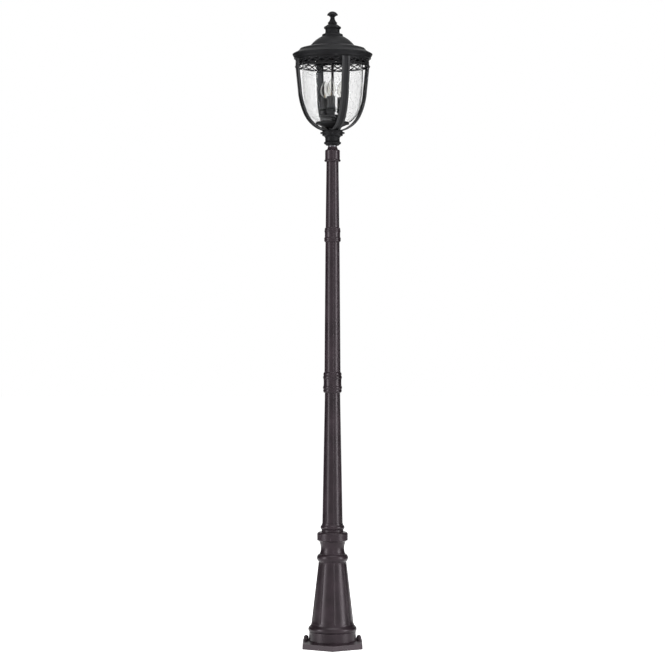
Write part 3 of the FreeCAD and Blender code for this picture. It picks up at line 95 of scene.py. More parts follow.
def castPaint(name, look):
    # polyester powder coat on sand-cast aluminium: the sand stays as a faint orange peel under a satin
    # skin, slow clouds come from uneven film, edges are painted a little lighter, partly where the film
    # runs thin and partly as a painted highlight, and the pigment tints the sheen
    material, tree = newMaterial(name)
    place = addNode(tree, "ShaderNodeTexCoord").outputs["Object"]
    cloud = addNode(tree, "ShaderNodeTexNoise", Vector=place, Scale=perMetre(look["cloud"]), Detail=4.0)
    grain = addNode(tree, "ShaderNodeTexNoise", Vector=place, Scale=perMetre(look["grain"]), Detail=3.0,
                    Roughness=0.6)
    pits = addNode(tree, "ShaderNodeTexVoronoi", {"feature": "SMOOTH_F1"}, Vector=place,
                   Scale=perMetre(look["pit"]))
    film = addNode(tree, "ShaderNodeValToRGB", {"stops": [(0.3, linearColour(look["deep"])),
                   (0.7, linearColour(look["pale"]))]}, Fac=cloud)
    # convex edges are painted lighter: thin film there, and a painted highlight
    edge = addNode(tree, "ShaderNodeNewGeometry").outputs["Pointiness"]
    thinFilmAndHighlightMask = addNode(tree, "ShaderNodeValToRGB", {"stops": [(look["edgeFrom"], 0.0), (look["edgeTo"], 1.0)]},
                   Fac=edge)
    thinFilmAndHighlightAmount = addNode(tree, "ShaderNodeMath", {"operation": "MULTIPLY"}, i0=thinFilmAndHighlightMask, i1=look["thinFilmAndHighlightShare"])
    colour = addNode(tree, "ShaderNodeMix", {"data_type": "RGBA"}, i0=thinFilmAndHighlightAmount, i6=film,
                     i7=linearColour(look["thinFilmAndHighlight"]))
    shine = addNode(tree, "ShaderNodeValToRGB", {"stops": [(0.3, look["smooth"]), (0.75, look["rough"])]},
                    Fac=cloud)
    height = addNode(tree, "ShaderNodeMath", {"operation": "MULTIPLY_ADD"}, i0=pits.outputs["Distance"],
                     i1=look["pitShare"], i2=grain)
    bump = addNode(tree, "ShaderNodeBump", Height=height, Strength=look["bump"],
                   Distance=look["relief"] * mm)
    shader = addNode(tree, "ShaderNodeBsdfPrincipled", Base_Color=colour.outputs[2], Roughness=shine,
                     Normal=bump, Specular_IOR_Level=look["specular"],
                     Specular_Tint=linearColour(look["sheen"]))
    addNode(tree, "ShaderNodeOutputMaterial", Surface=shader)
    return material


def steelFinish(name, look):
    # turned steel under zinc, nickel or black oxide: cloudy patches and fine tool rings round the axis
    material, tree = newMaterial(name)
    place = addNode(tree, "ShaderNodeTexCoord").outputs["Object"]
    cloud = addNode(tree, "ShaderNodeTexNoise", Vector=place, Scale=perMetre(look["cloud"]), Detail=3.0)
    rings = addNode(tree, "ShaderNodeTexWave", {"wave_type": "BANDS", "bands_direction": "Z"}, Vector=place,
                    Scale=perMetre(look["pitch"]) / 20, Distortion=look["wander"])
    base = addNode(tree, "ShaderNodeValToRGB", {"stops": [(0.35, linearColour(look["deep"])),
                   (0.65, linearColour(look["pale"]))]}, Fac=cloud)
    shine = addNode(tree, "ShaderNodeValToRGB", {"stops": [(0.3, look["smooth"]), (0.7, look["rough"])]},
                    Fac=cloud)
    bump = addNode(tree, "ShaderNodeBump", Height=rings.outputs["Fac"], Strength=look["bump"],
                   Distance=look["pitch"] * 0.2 * mm)
    shader = addNode(tree, "ShaderNodeBsdfPrincipled", Base_Color=base, Roughness=shine, Metallic=1.0,
                     Normal=bump)
    addNode(tree, "ShaderNodeOutputMaterial", Surface=shader)
    return material


def mouldedPlastic(name, look):
    # injection-moulded plastic or rubber: one colour that clouds a little, and a spark-eroded grain
    material, tree = newMaterial(name)
    place = addNode(tree, "ShaderNodeTexCoord").outputs["Object"]
    cloud = addNode(tree, "ShaderNodeTexNoise", Vector=place, Scale=perMetre(look["cloud"]), Detail=2.0)
    grain = addNode(tree, "ShaderNodeTexNoise", Vector=place, Scale=perMetre(look["grain"]), Detail=2.0)
    base = addNode(tree, "ShaderNodeValToRGB", {"stops": [(0.3, linearColour(look["deep"])),
                   (0.7, linearColour(look["pale"]))]}, Fac=cloud)
    shine = addNode(tree, "ShaderNodeValToRGB", {"stops": [(0.3, look["smooth"]), (0.7, look["rough"])]},
                    Fac=grain)
    bump = addNode(tree, "ShaderNodeBump", Height=grain, Strength=0.3, Distance=look["grain"] * 0.1 * mm)
    shader = addNode(tree, "ShaderNodeBsdfPrincipled", Base_Color=base, Roughness=shine, Normal=bump,
                     Specular_IOR_Level=look["specular"])
    addNode(tree, "ShaderNodeOutputMaterial", Surface=shader)
    return material


def blownGlass(name, look):
    # soda-lime glass blown in a mould: slow waves bend what stands behind it, and the seeds' grey specks
    # and faint cords mottle it; light passes it to the lamps without caustics
    material, tree = newMaterial(name)
    place = addNode(tree, "ShaderNodeTexCoord").outputs["Object"]
    wave = addNode(tree, "ShaderNodeTexNoise", Vector=place, Scale=perMetre(look["wave"]), Detail=1.0)
    ripple = addNode(tree, "ShaderNodeTexNoise", Vector=place, Scale=perMetre(look["ripple"]), Detail=2.0)
    height = addNode(tree, "ShaderNodeMath", {"operation": "MULTIPLY_ADD"}, i0=ripple,
                     i1=look["rippleShare"], i2=wave)
    bump = addNode(tree, "ShaderNodeBump", Height=height, Strength=look["bump"],
                   Distance=look["depth"] * mm)
    tint = addNode(tree, "ShaderNodeValToRGB", {"stops": [(0.38, linearColour(look["cord"])),
                   (0.6, linearColour(look["clear"]))]}, Fac=ripple).outputs["Color"]
    if "rim" in look:
        # painted shade: the rim's top is tinted dark grey where the roof shades it
        level = addNode(tree, "ShaderNodeSeparateXYZ", Vector=place).outputs["Z"]
        near = addNode(tree, "ShaderNodeMapRange", Value=level, From_Min=look["rimFrom"] * mm,
                       From_Max=look["rimTo"] * mm)
        tint = addNode(tree, "ShaderNodeMix", {"data_type": "RGBA"}, i0=near, i6=tint,
                       i7=linearColour(look["rim"])).outputs[2]
    glass = addNode(tree, "ShaderNodeBsdfPrincipled", Base_Color=tint, Roughness=look["rough"],
                    IOR=look["ior"], Transmission_Weight=1.0, Normal=bump,
                    Specular_Tint=linearColour(look["gloss"]))
    path = addNode(tree, "ShaderNodeLightPath")
    passing = addNode(tree, "ShaderNodeBsdfTransparent", Color=linearColour(look["shade"]))
    shader = addNode(tree, "ShaderNodeMixShader", i0=path.outputs["Is Shadow Ray"], i1=glass, i2=passing)
    addNode(tree, "ShaderNodeOutputMaterial", Surface=shader)
    return material


postLook = {
    "deep": "1b1518", "pale": "2d2429", "thinFilmAndHighlight": "6a6065", "thinFilmAndHighlightShare": 0.4, "edgeFrom": 0.52, "edgeTo": 0.6,
    "cloud": 70.0, "grain": 3.0, "pit": 4.0, "pitShare": 0.4, "bump": 0.12, "relief": 0.5,
    "smooth": 0.3, "rough": 0.4, "specular": 0.24, "sheen": "f8eef5",
}
lanternLook = {
    "deep": "101011", "pale": "19191a", "thinFilmAndHighlight": "505052", "thinFilmAndHighlightShare": 0.3, "edgeFrom": 0.52, "edgeTo": 0.6,
    "cloud": 30.0, "grain": 2.2, "pit": 3.0, "pitShare": 0.7, "bump": 0.22, "relief": 0.5,
    "smooth": 0.46, "rough": 0.58, "specular": 0.11, "sheen": "f4f4fa",
}
# painted highlight: the ribs' borders are painted lighter; painted shade: their sunk middles near black
ribPaintedHighlightLook = {**lanternLook, "deep": "1b1b1c", "pale": "272728", "thinFilmAndHighlight": "707072", "thinFilmAndHighlightShare": 0.45}
recessPaintedShadeLook = {**lanternLook, "deep": "080809", "pale": "101011", "thinFilmAndHighlightShare": 0.0, "specular": 0.2}
bowlLook = {
    "wave": 34.0, "ripple": 8.0, "rippleShare": 0.3, "bump": 0.22, "depth": 1.0, "clear": "fcfcfc",
    "cord": "f4f4f4", "rough": 0.0, "ior": 1.4, "gloss": "5a5a5a", "shade": "e6e8ea",
    "rimFrom": 2200.5, "rimTo": 2202.5, "rim": "303030",
}
finish = {
    "post_paint": castPaint("powderCoatedCastAluminium", postLook),
    "lantern_paint": castPaint("texturedCoatOnCastAluminium", lanternLook),
    "screw_steel": steelFinish("blackOxideSteel", {
        "deep": "1c1a1b", "pale": "2e2b2c", "cloud": 9.0, "pitch": 1.5, "wander": 0.2, "smooth": 0.35,
        "rough": 0.5, "bump": 0.25}),
    "tube_steel": steelFinish("zincPlatedSteel", {
        "deep": "4a4a4c", "pale": "6a6a6e", "cloud": 14.0, "pitch": 1.5, "wander": 0.1, "smooth": 0.3,
        "rough": 0.45, "bump": 0.5}),
    "lamp_cap": steelFinish("nickelPlatedBrass", {
        "deep": "9c9484", "pale": "c4bba6", "cloud": 6.0, "pitch": 2.8, "wander": 0.0, "smooth": 0.2,
        "rough": 0.35, "bump": 0.6}),
    "holder_plastic": mouldedPlastic("whiteMouldedPolyester", {
        "deep": "c9c6bd", "pale": "d8d5cc", "cloud": 20.0, "grain": 0.8, "smooth": 0.35, "rough": 0.5,
        "specular": 0.5}),
    "sleeve_plastic": mouldedPlastic("blackPolycarbonateTube", {
        "deep": "101011", "pale": "191819", "cloud": 25.0, "grain": 1.4, "smooth": 0.36, "rough": 0.5,
        "specular": 0.25}),
    "block_plastic": mouldedPlastic("naturalPolyamide", {
        "deep": "cfcabc", "pale": "ddd8ca", "cloud": 12.0, "grain": 0.6, "smooth": 0.4, "rough": 0.55,
        "specular": 0.5}),
    "seal_rubber": mouldedPlastic("blackSiliconeRubber", {
        "deep": "0d0d0d", "pale": "171717", "cloud": 12.0, "grain": 0.9, "smooth": 0.6, "rough": 0.75,
        "specular": 0.4}),
    "clear_glass": blownGlass("blownSeededGlass", bowlLook),
    "lamp_glass": blownGlass("thinLampGlass", {
        "wave": 20.0, "ripple": 6.0, "rippleShare": 0.05, "bump": 0.05, "depth": 0.3, "clear": "f4f4f2",
        "cord": "f4f4f2", "rough": 0.0, "ior": 1.7, "gloss": "404040", "shade": "f4f4f2"}),
    "filament_mount": blownGlass("warmLeadGlassStem", {
        "wave": 6.0, "ripple": 2.0, "rippleShare": 0.2, "bump": 0.2, "depth": 0.3, "clear": "f6ead8",
        "cord": "efdfc6", "rough": 0.05, "ior": 1.55, "gloss": "808080", "shade": "f4ecdf"}),
}
ribPaintedHighlightCoat = castPaint("texturedCoatRibBordersPaintedHighlight", ribPaintedHighlightLook)
recessPaintedShadeCoat = castPaint("texturedCoatRibRecessPaintedShade", recessPaintedShadeLook)
seedGlass = blownGlass("airSeedInGlass", {
    **bowlLook, "clear": "cfd0d1", "cord": "b4b6b8", "rough": 0.12, "ior": 1.12})
tungsten = steelFinish("drawnTungstenWire", {
    "deep": "2e2823", "pale": "4a4138", "cloud": 3.0, "pitch": 0.8, "wander": 0.0, "smooth": 0.3,
    "rough": 0.45, "bump": 0.1})
for entry in frame["record"]["subparts"]:
    node = frame["nodes"][entry["node"]]
    node.data.materials.clear()
    node.data.materials.append(finish[entry["material_slot"]])
print("materials: done")


def nodeAxis(node):
    # the upright axis of a turned node: the post's own, or its candle's
    low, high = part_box(node)
    middle = (low + high) / 2
    return Vector((0, 0, 0)) if middle.xy.length < centred else Vector((middle.x, middle.y, 0))


def sectionLoops(node, degrees=0.0):
    # the half section of a node at one angle about its axis, as loops of (radius, height) points
    mesh = bmesh.new()
    mesh.from_mesh(frame["nodes"][node].data)
    bmesh.ops.translate(mesh, verts=mesh.verts, vec=-nodeAxis(node))
    back = Matrix.Rotation(-math.radians(degrees), 3, "Z")
    bmesh.ops.rotate(mesh, verts=mesh.verts, cent=(0, 0, 0), matrix=back)
    bmesh.ops.remove_doubles(mesh, verts=mesh.verts, dist=merge)
    everything = mesh.verts[:] + mesh.edges[:] + mesh.faces[:]
    cut = bmesh.ops.bisect_plane(mesh, geom=everything, plane_co=(0, 0, 0), plane_no=(0, 1, 0), dist=merge)
    edges = [item for item in cut["geom_cut"] if isinstance(item, bmesh.types.BMEdge)]
    links = {}
    axisGap = 0.01  # in millimetres, as the rounded ends are
    for edge in edges:
        ends = [(round(v.co.x / mm, 3), round(v.co.z / mm, 3)) for v in edge.verts]
        inner, outer = sorted(end[0] for end in ends)
        if inner < -axisGap or ends[0] == ends[1] or outer < axisGap:
            continue
        links.setdefault(ends[0], set()).add(ends[1])
        links.setdefault(ends[1], set()).add(ends[0])
    mesh.free()
    loops = []
    while links:
        tips = [point for point, others in links.items() if len(others) == 1]
        point = min(tips or links, key=lambda p: (p[1], p[0]))
        loop = [point]
        while links.get(point):
            follower = links[point].pop()
            links[follower].discard(point)
            for end in (point, follower):
                if not links.get(end):
                    links.pop(end, None)
            if follower == loop[0]:
                break
            loop.append(follower)
            point = follower
        area = sum(a[0] * b[1] - b[0] * a[1] for a, b in zip(loop, loop[1:] + loop[:1]))
        points = [Vector((r * mm, z * mm)) for r, z in (loop if area > 0 else loop[::-1])]
        loops.append(dropStraight(points))
    return loops


def sectionLoop(node, degrees=0.0):
    return max(sectionLoops(node, degrees), key=len)


def turnAt(points, index):
    before = points[index] - points[index - 1]
    after = points[(index + 1) % len(points)] - points[index]
    if before.length < 1e-7 or after.length < 1e-7:
        return 0.0
    return abs(before.angle(after))


def dropStraight(points, straight=math.radians(0.4)):
    return [p for i, p in enumerate(points) if turnAt(points, i) > straight or p.x < onAxis]


def smoothArcs(points, sharp=math.radians(20), longest=2.0 * mm):
    # one more point between neighbours that lie on an arc
    out = []
    count = len(points)
    for i in range(count):
        a, b = points[i], points[(i + 1) % count]
        out.append(a)
        soft = turnAt(points, i) < sharp and turnAt(points, (i + 1) % count) < sharp
        if soft and (b - a).length > longest and a.x > mm and b.x > mm:
            out.append((9 * (a + b) - points[i - 1] - points[(i + 2) % count]) / 16)
    return out


def easeCorners(points, radius, sharp=math.radians(20), steps=3, share=0.42):
    # a small arc in place of every real corner, as a casting or a turned edge has; it takes at most
    # this share of the runs beside it
    out = []
    count = len(points)
    for i, point in enumerate(points):
        turn = turnAt(points, i)
        if turn < sharp or point.x < onAxis:
            out.append(point)
            continue
        before, after = points[i - 1] - point, points[(i + 1) % count] - point
        reach = min(radius * math.tan(turn / 2), share * before.length, share * after.length)
        start, end = point + before.normalized() * reach, point + after.normalized() * reach
        for step in range(steps + 1):
            t = step / steps
            out.append(start * (1 - t) ** 2 + point * 2 * t * (1 - t) + end * t ** 2)
    return out


def evenAngles(steps):
    return [2 * math.pi * step / steps for step in range(steps)]


def spinOutline(mesh, points, angles, radiusAt=None, axis=None):
    # a closed shell of revolution; radiusAt(point, angle) can change the radius round the turn
    count = len(angles)
    rings = []
    for point in points:
        if point.x < onAxis:
            rings.append([mesh.verts.new((0, 0, point.y))] * count)
            continue
        ring = []
        for angle in angles:
            radius = radiusAt(point, angle) if radiusAt else point.x
            ring.append(mesh.verts.new((radius * math.cos(angle), radius * math.sin(angle), point.y)))
        rings.append(ring)
    closed = points[0].x > onAxis
    for index in range(len(rings) if closed else len(rings) - 1):
        low, high = rings[index], rings[(index + 1) % len(rings)]
        for step in range(count):
            after = (step + 1) % count
            corners = [low[step], low[after], high[after], high[step]]
            corners = [v for i, v in enumerate(corners) if v not in corners[:i]]
            if len(corners) > 2:
                mesh.faces.new(corners)
    if axis:
        bmesh.ops.translate(mesh, verts=mesh.verts, vec=axis)
    return mesh


def meshObject(name, mesh):
    data = bpy.data.meshes.new(name)
    mesh.to_mesh(data)
    mesh.free()
    piece = bpy.data.objects.new(name, data)
    bpy.context.scene.collection.objects.link(piece)
    return piece


def bakeModifiers(piece):
    bpy.context.view_layer.update()
    evaluated = piece.evaluated_get(bpy.context.evaluated_depsgraph_get())
    data = bpy.data.meshes.new_from_object(evaluated)
    piece.modifiers.clear()
    piece.data = data
    return piece


def shadeSmooth(piece, sharpDegrees=42.0):
    # soft shading that keeps broad faces flat beside their eased edges
    piece.data.shade_smooth()
    piece.data.set_sharp_from_angle(angle=math.radians(sharpDegrees))
    weighted = piece.modifiers.new("weightedNormals", "WEIGHTED_NORMAL")
    weighted.keep_sharp = True
    return bakeModifiers(piece)


def slotOf(node):
    return next(e["material_slot"] for e in frame["record"]["subparts"] if e["node"] == node)


def bodyOf(node):
    return next(name for name, nodes in frame["record"]["behaviour"]["bodies"].items() if node in nodes)


def dress(piece, *nodes, slot=None, material=None):
    # give a finished piece its node's finish and body, and hide the node
    name = slot or slotOf(nodes[0])
    piece.data.materials.clear()
    piece.data.materials.append(material or finish[name])
    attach(piece, bodyOf(nodes[0]))
    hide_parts(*nodes)
    return piece


def turnedPiece(node, ease=0.6, steps=128, **options):
    points = easeCorners(smoothArcs(sectionLoop(node)), ease * mm)
    mesh = spinOutline(bmesh.new(), points, evenAngles(steps), axis=nodeAxis(node))
    return dress(shadeSmooth(meshObject(node + "_turned", mesh)), node, **options)


def easedCopy(node, ease=0.6, segments=2, **options):
    # the node's own shape with its edges eased like a casting's
    mesh = bmesh.new()
    mesh.from_mesh(frame["nodes"][node].data)
    bmesh.ops.remove_doubles(mesh, verts=mesh.verts, dist=merge)
    bmesh.ops.dissolve_limit(mesh, angle_limit=math.radians(0.6), verts=mesh.verts, edges=mesh.edges)
    piece = meshObject(node + "_cast", mesh)
    bevel = piece.modifiers.new("easedEdges", "BEVEL")
    bevel.width = ease * mm
    bevel.segments = segments
    bevel.limit_method = "ANGLE"
    bevel.angle_limit = math.radians(30)
    bevel.use_clamp_overlap = True
    bakeModifiers(piece)
    return dress(shadeSmooth(piece), node, **options)


def startTree(name, sizes):
    # a geometry tree with one named input for each size; it returns the tree and the sockets by name
    tree = bpy.data.node_groups.new(name, "GeometryNodeTree")
    tree.is_modifier = True
    tree.interface.new_socket("Geometry", in_out="INPUT", socket_type="NodeSocketGeometry")
    tree.interface.new_socket("Geometry", in_out="OUTPUT", socket_type="NodeSocketGeometry")
    for label, size in sizes.items():
        kind = "NodeSocketInt" if isinstance(size, int) else "NodeSocketFloat"
        tree.interface.new_socket(label, in_out="INPUT", socket_type=kind)
    return tree, addNode(tree, "NodeGroupInput").outputs


def finishTree(tree, shape, material):
    real = addNode(tree, "GeometryNodeRealizeInstances", Geometry=shape)
    painted = addNode(tree, "GeometryNodeSetMaterial", Geometry=real, Material=material)
    addNode(tree, "NodeGroupOutput", Geometry=painted)
    return tree


def growPiece(name, tree, sizes, mesh=None):
    # run a geometry tree with its sizes and keep the result as a plain mesh
    piece = meshObject(name, mesh or bmesh.new())
    modifier = piece.modifiers.new(name, "NODES")
    modifier.node_group = tree
    for item in tree.interface.items_tree:
        if item.name in sizes:
            modifier[item.identifier] = sizes[item.name]
    return bakeModifiers(piece)


# panelled castings: eight shallow panels sunk between thin ridges, one ridge just right of the front
flute = {
    "count": 8, "aimDegrees": -82.5, "crest": 0.5, "flank": 2.7, "margin": 0.4, "ridgeSteps": 12,
    "panelSteps": 12, "rowPitch": 40.0, "ease": 0.8,
}
shaftFlute = {**flute, "share": 1.6 / 38.6, "fade": 0.0, "fadeRows": ()}
pedestalFlute = {**flute, "share": 2.6 / 80.0, "fade": 14.0, "fadeRows": (0.08, 0.2, 0.4, 0.65, 1.0)}


def fluteShare(angle, look):
    # how far the surface lies inside the ridge radius at an angle, as a share of that radius
    pitch = 360 / look["count"]
    offset = (math.degrees(angle) - look["aimDegrees"] + pitch / 2) % pitch - pitch / 2
    down = min(1.0, max(0.0, (abs(offset) - look["crest"]) / (look["flank"] - look["crest"])))
    return look["share"] * down * down * (3 - 2 * down)


def fluteAngles(look):
    # close steps over each ridge and wide ones over each panel
    pitch = 360 / look["count"]
    reach = look["flank"] + look["margin"]
    ridge = [-reach + 2 * reach * k / look["ridgeSteps"] for k in range(look["ridgeSteps"])]
    panel = [reach + (pitch - 2 * reach) * k / look["panelSteps"] for k in range(look["panelSteps"])]
    return [math.radians(look["aimDegrees"] + n * pitch + offset) for n in range(look["count"])
            for offset in ridge + panel]


def flutedPiece(node, look):
    points = easeCorners(smoothArcs(sectionLoop(node, look["aimDegrees"])), look["ease"] * mm)
    runs = [(points[i - 1], points[i]) for i in range(len(points)) if points[i].y > points[i - 1].y]
    low, high = max(runs, key=lambda run: (run[1] - run[0]).length)
    rows = []
    fluted = set()
    for index, point in enumerate(points):
        rows.append(point)
        if point != low or points[(index + 1) % len(points)] != high:
            continue
        span = high.y - low.y
        count = max(2, round(span / (look["rowPitch"] * mm)))
        # closer rows where a panel runs out
        near = [t * look["fade"] * mm / span for t in look["fadeRows"]]
        marks = sorted(set(near + [1 - t for t in near] + [k / count for k in range(1, count)]))
        added = [low.lerp(high, t) for t in marks]
        rows += added
        fluted.update(round(p.y, 7) for p in [low, high] + added)
    outerFrom = min(low.x, high.x) - 0.01 * mm

    def radiusAt(point, angle):
        if round(point.y, 7) not in fluted or point.x < outerFrom:
            return point.x
        depth = fluteShare(angle, look)
        if look["fade"]:
            # the panel runs out in a half circle at its foot and its head
            nearEnd = min(point.y - low.y, high.y - point.y) / (look["fade"] * mm)
            depth *= math.sqrt(max(0.0, 1 - (1 - min(1.0, nearEnd)) ** 2))
        return point.x * (1 - depth)

    mesh = spinOutline(bmesh.new(), rows, fluteAngles(look), radiusAt)
    return dress(shadeSmooth(meshObject(node + "_fluted", mesh)), node)


flutedPiece("pedestal", pedestalFlute)
for shaftNode in ("lower_shaft", "middle_shaft", "upper_shaft"):
    flutedPiece(shaftNode, shaftFlute)
print("panelled castings: done")

# how far each turned edge is eased, in millimetres
turnedEase = {
    "pedestal_collar": 1.2, "lower_coupling": 0.8, "upper_coupling": 0.7, "neck_nipple": 0.4,
    "base_cup": 0.7, "glass_dish": 0.8, "roof": 1.0, "vent_turret": 0.8, "finial": 0.6,
    "finial_washer": 0.2, "candle_pan": 0.6, "pan_cover": 0.3, "centre_rod": 0.4, "glass_gasket": 0.3,
}
for turnedNode, ease in turnedEase.items():
    turnedPiece(turnedNode, ease)
turnedPiece("post_cap", 0.7, slot="post_paint")
for number in (1, 2, 3):
    turnedPiece(f"candle_cup_{number}", 0.5, 64)
    turnedPiece(f"candle_sleeve_{number}", 0.4, 64)
    turnedPiece(f"lampholder_{number}", 0.4, 48)
    turnedPiece(f"lamp_glass_{number}", 0.1, 64)
    turnedPiece(f"lamp_cap_{number}", 0.1, 48)
bowl = turnedPiece("glass_bowl", 0.8, 192)
print("turned pieces: done")

# how far each casting's edges are eased, in millimetres
castEase = {
    "foot_plate": 1.2, "anchor_washers": 0.3, "rib_foot_screws": 0.3, "rib_top_screws": 0.3,
    "rod_nuts": 0.4, "terminal_block": 0.4,
}
for castNode, ease in castEase.items():
    easedCopy(castNode, ease)
easedCopy("anchor_nuts", 0.5, slot="post_paint")

# how far the ribs' edges are eased, and half the width of their sunk middles
rib = {"ease": 0.9, "recessHalf": 7.6}


def castRib(node):
    piece = easedCopy(node, rib["ease"], material=ribPaintedHighlightCoat)
    piece.data.materials.append(recessPaintedShadeCoat)
    middle = sum((v.co for v in piece.data.vertices), Vector()) / len(piece.data.vertices)
    outward = Vector((middle.x, middle.y, 0)).normalized()
    across = Vector((-outward.y, outward.x, 0))
    # painted shade: the outward faces of the sunk middle take the near-black coat
    for face in piece.data.polygons:
        reach = max(abs(piece.data.vertices[index].co.dot(across)) for index in face.vertices)
        if reach < rib["recessHalf"] * mm and face.normal.dot(outward - Vector((0, 0, 1))) > 0.5:
            face.material_index = 1


for number in (1, 2, 3, 4):
    castRib(f"rib_{number}")
print("castings: done")

# gallery band: two rims, and two waves woven over and under each other between them
band = {
    "ribDegrees": -69.0, "eyeDegrees": 7.5, "ribs": 4, "seatHalf": 15.3, "web": 137.7,
    "lowerKeep": 6.0, "upperKeep": 24.6, "ease": 0.4, "steps": 288,
}
strand = {
    "Waves": 12, "Points": 288, "Radius": 135.8 * mm, "Swing": 7.5 * mm, "Weave": 1.0 * mm,
    "Strand width": 4.4 * mm, "Strand depth": 2.0 * mm,
}


def bandRims():
    # the rims keep the CAD's outline and its four flat seats for the ribs
    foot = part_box("gallery_band")[0].z
    eye = band["ribDegrees"] + band["eyeDegrees"]
    loops = sorted(sectionLoops("gallery_band", eye), key=lambda loop: min(p.y for p in loop))
    keep = ((0.0, band["lowerKeep"]), (band["upperKeep"], math.inf))
    seat = math.atan(band["seatHalf"] / band["web"])
    first = math.radians(band["ribDegrees"])
    aims = [first + k * 2 * math.pi / band["ribs"] for k in range(band["ribs"])]
    angles = evenAngles(band["steps"])
    for aim in aims:
        # two points close together hold each end of a seat sharp
        corners = [aim + side * (seat + past) for side in (-1, 1) for past in (-1e-4, 1e-4)]
        angles += [corner % (2 * math.pi) for corner in corners]
    angles.sort()

    def radiusAt(point, angle):
        for aim in aims:
            off = abs((angle - aim + math.pi) % (2 * math.pi) - math.pi)
            if off < seat:
                return min(point.x, band["web"] * mm / math.cos(off))
        return point.x

    mesh = bmesh.new()
    for loop, (low, high) in zip((loops[0], loops[-1]), keep):
        points = [Vector((p.x, min(max(p.y, foot + low * mm), foot + high * mm))) for p in loop]
        points = [p for i, p in enumerate(points) if (p - points[i - 1]).length > 0.01 * mm]
        spinOutline(mesh, easeCorners(smoothArcs(points), band["ease"] * mm), angles, radiusAt)
    return dress(shadeSmooth(meshObject("gallery_band_rims", mesh)), "gallery_band")


def strandTree(level):
    tree, size = startTree("wovenStrands", strand)
    shapes = []
    turn = addNode(tree, "ShaderNodeMath", {"operation": "MULTIPLY"},
                   i0=addNode(tree, "GeometryNodeSplineParameter").outputs["Factor"], i1=2 * math.pi)
    angle = addNode(tree, "ShaderNodeMath", {"operation": "ADD"}, i0=turn,
                    i1=math.radians(band["ribDegrees"]))
    phase = addNode(tree, "ShaderNodeMath", {"operation": "MULTIPLY"}, i0=turn, i1=size["Waves"])
    rise = addNode(tree, "ShaderNodeMath", {"operation": "SINE"}, i0=phase)
    over = addNode(tree, "ShaderNodeMath", {"operation": "COSINE"}, i0=phase)
    across = addNode(tree, "ShaderNodeMath", {"operation": "COSINE"}, i0=angle)
    along = addNode(tree, "ShaderNodeMath", {"operation": "SINE"}, i0=angle)
    halfRound = addNode(tree, "GeometryNodeCurvePrimitiveCircle", Resolution=10, Radius=0.5)
    section = addNode(tree, "ShaderNodeCombineXYZ", X=size["Strand depth"], Y=size["Strand width"],
                      Z=1.0)
    profile = addNode(tree, "GeometryNodeTransform", Geometry=halfRound, Scale=section)
    for side in (1.0, -1.0):
        weave = addNode(tree, "ShaderNodeMath", {"operation": "MULTIPLY"}, i0=size["Weave"], i1=side)
        radius = addNode(tree, "ShaderNodeMath", {"operation": "MULTIPLY_ADD"}, i0=over, i1=weave,
                         i2=size["Radius"])
        swing = addNode(tree, "ShaderNodeMath", {"operation": "MULTIPLY"}, i0=size["Swing"], i1=side)
        height = addNode(tree, "ShaderNodeMath", {"operation": "MULTIPLY_ADD"}, i0=rise, i1=swing,
                         i2=level)
        x = addNode(tree, "ShaderNodeMath", {"operation": "MULTIPLY"}, i0=radius, i1=across)
        y = addNode(tree, "ShaderNodeMath", {"operation": "MULTIPLY"}, i0=radius, i1=along)
        place = addNode(tree, "ShaderNodeCombineXYZ", X=x, Y=y, Z=height)
        ring = addNode(tree, "GeometryNodeCurvePrimitiveCircle", Resolution=size["Points"])
        wave = addNode(tree, "GeometryNodeSetPosition", Geometry=ring, Position=place)
        upright = addNode(tree, "GeometryNodeSetCurveNormal", {"mode": "Z_UP"}, Curve=wave)
        shapes.append(addNode(tree, "GeometryNodeCurveToMesh", Curve=upright, Profile_Curve=profile))
    both = addNode(tree, "GeometryNodeJoinGeometry")
    for shape in shapes:
        tree.links.new(shape.outputs[0], both.inputs[0])
    return finishTree(tree, both, finish["lantern_paint"])


bandRims()
bandMiddle = sum(corner.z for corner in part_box("gallery_band")) / 2
strands = growPiece("gallery_band_strands", strandTree(bandMiddle), strand)
dress(shadeSmooth(strands, sharpDegrees=60.0), "gallery_band")
print("gallery band: done")

# seeds: small air bubbles frozen in the bowl's wall, drawn a little coarse so that they show
seeds = {
    "Density": 9000.0, "Depth": 1.5 * mm, "Smallest": 0.45 * mm, "Largest": 1.15 * mm, "Stretch": 1.5,
    "Seed": 7,
}


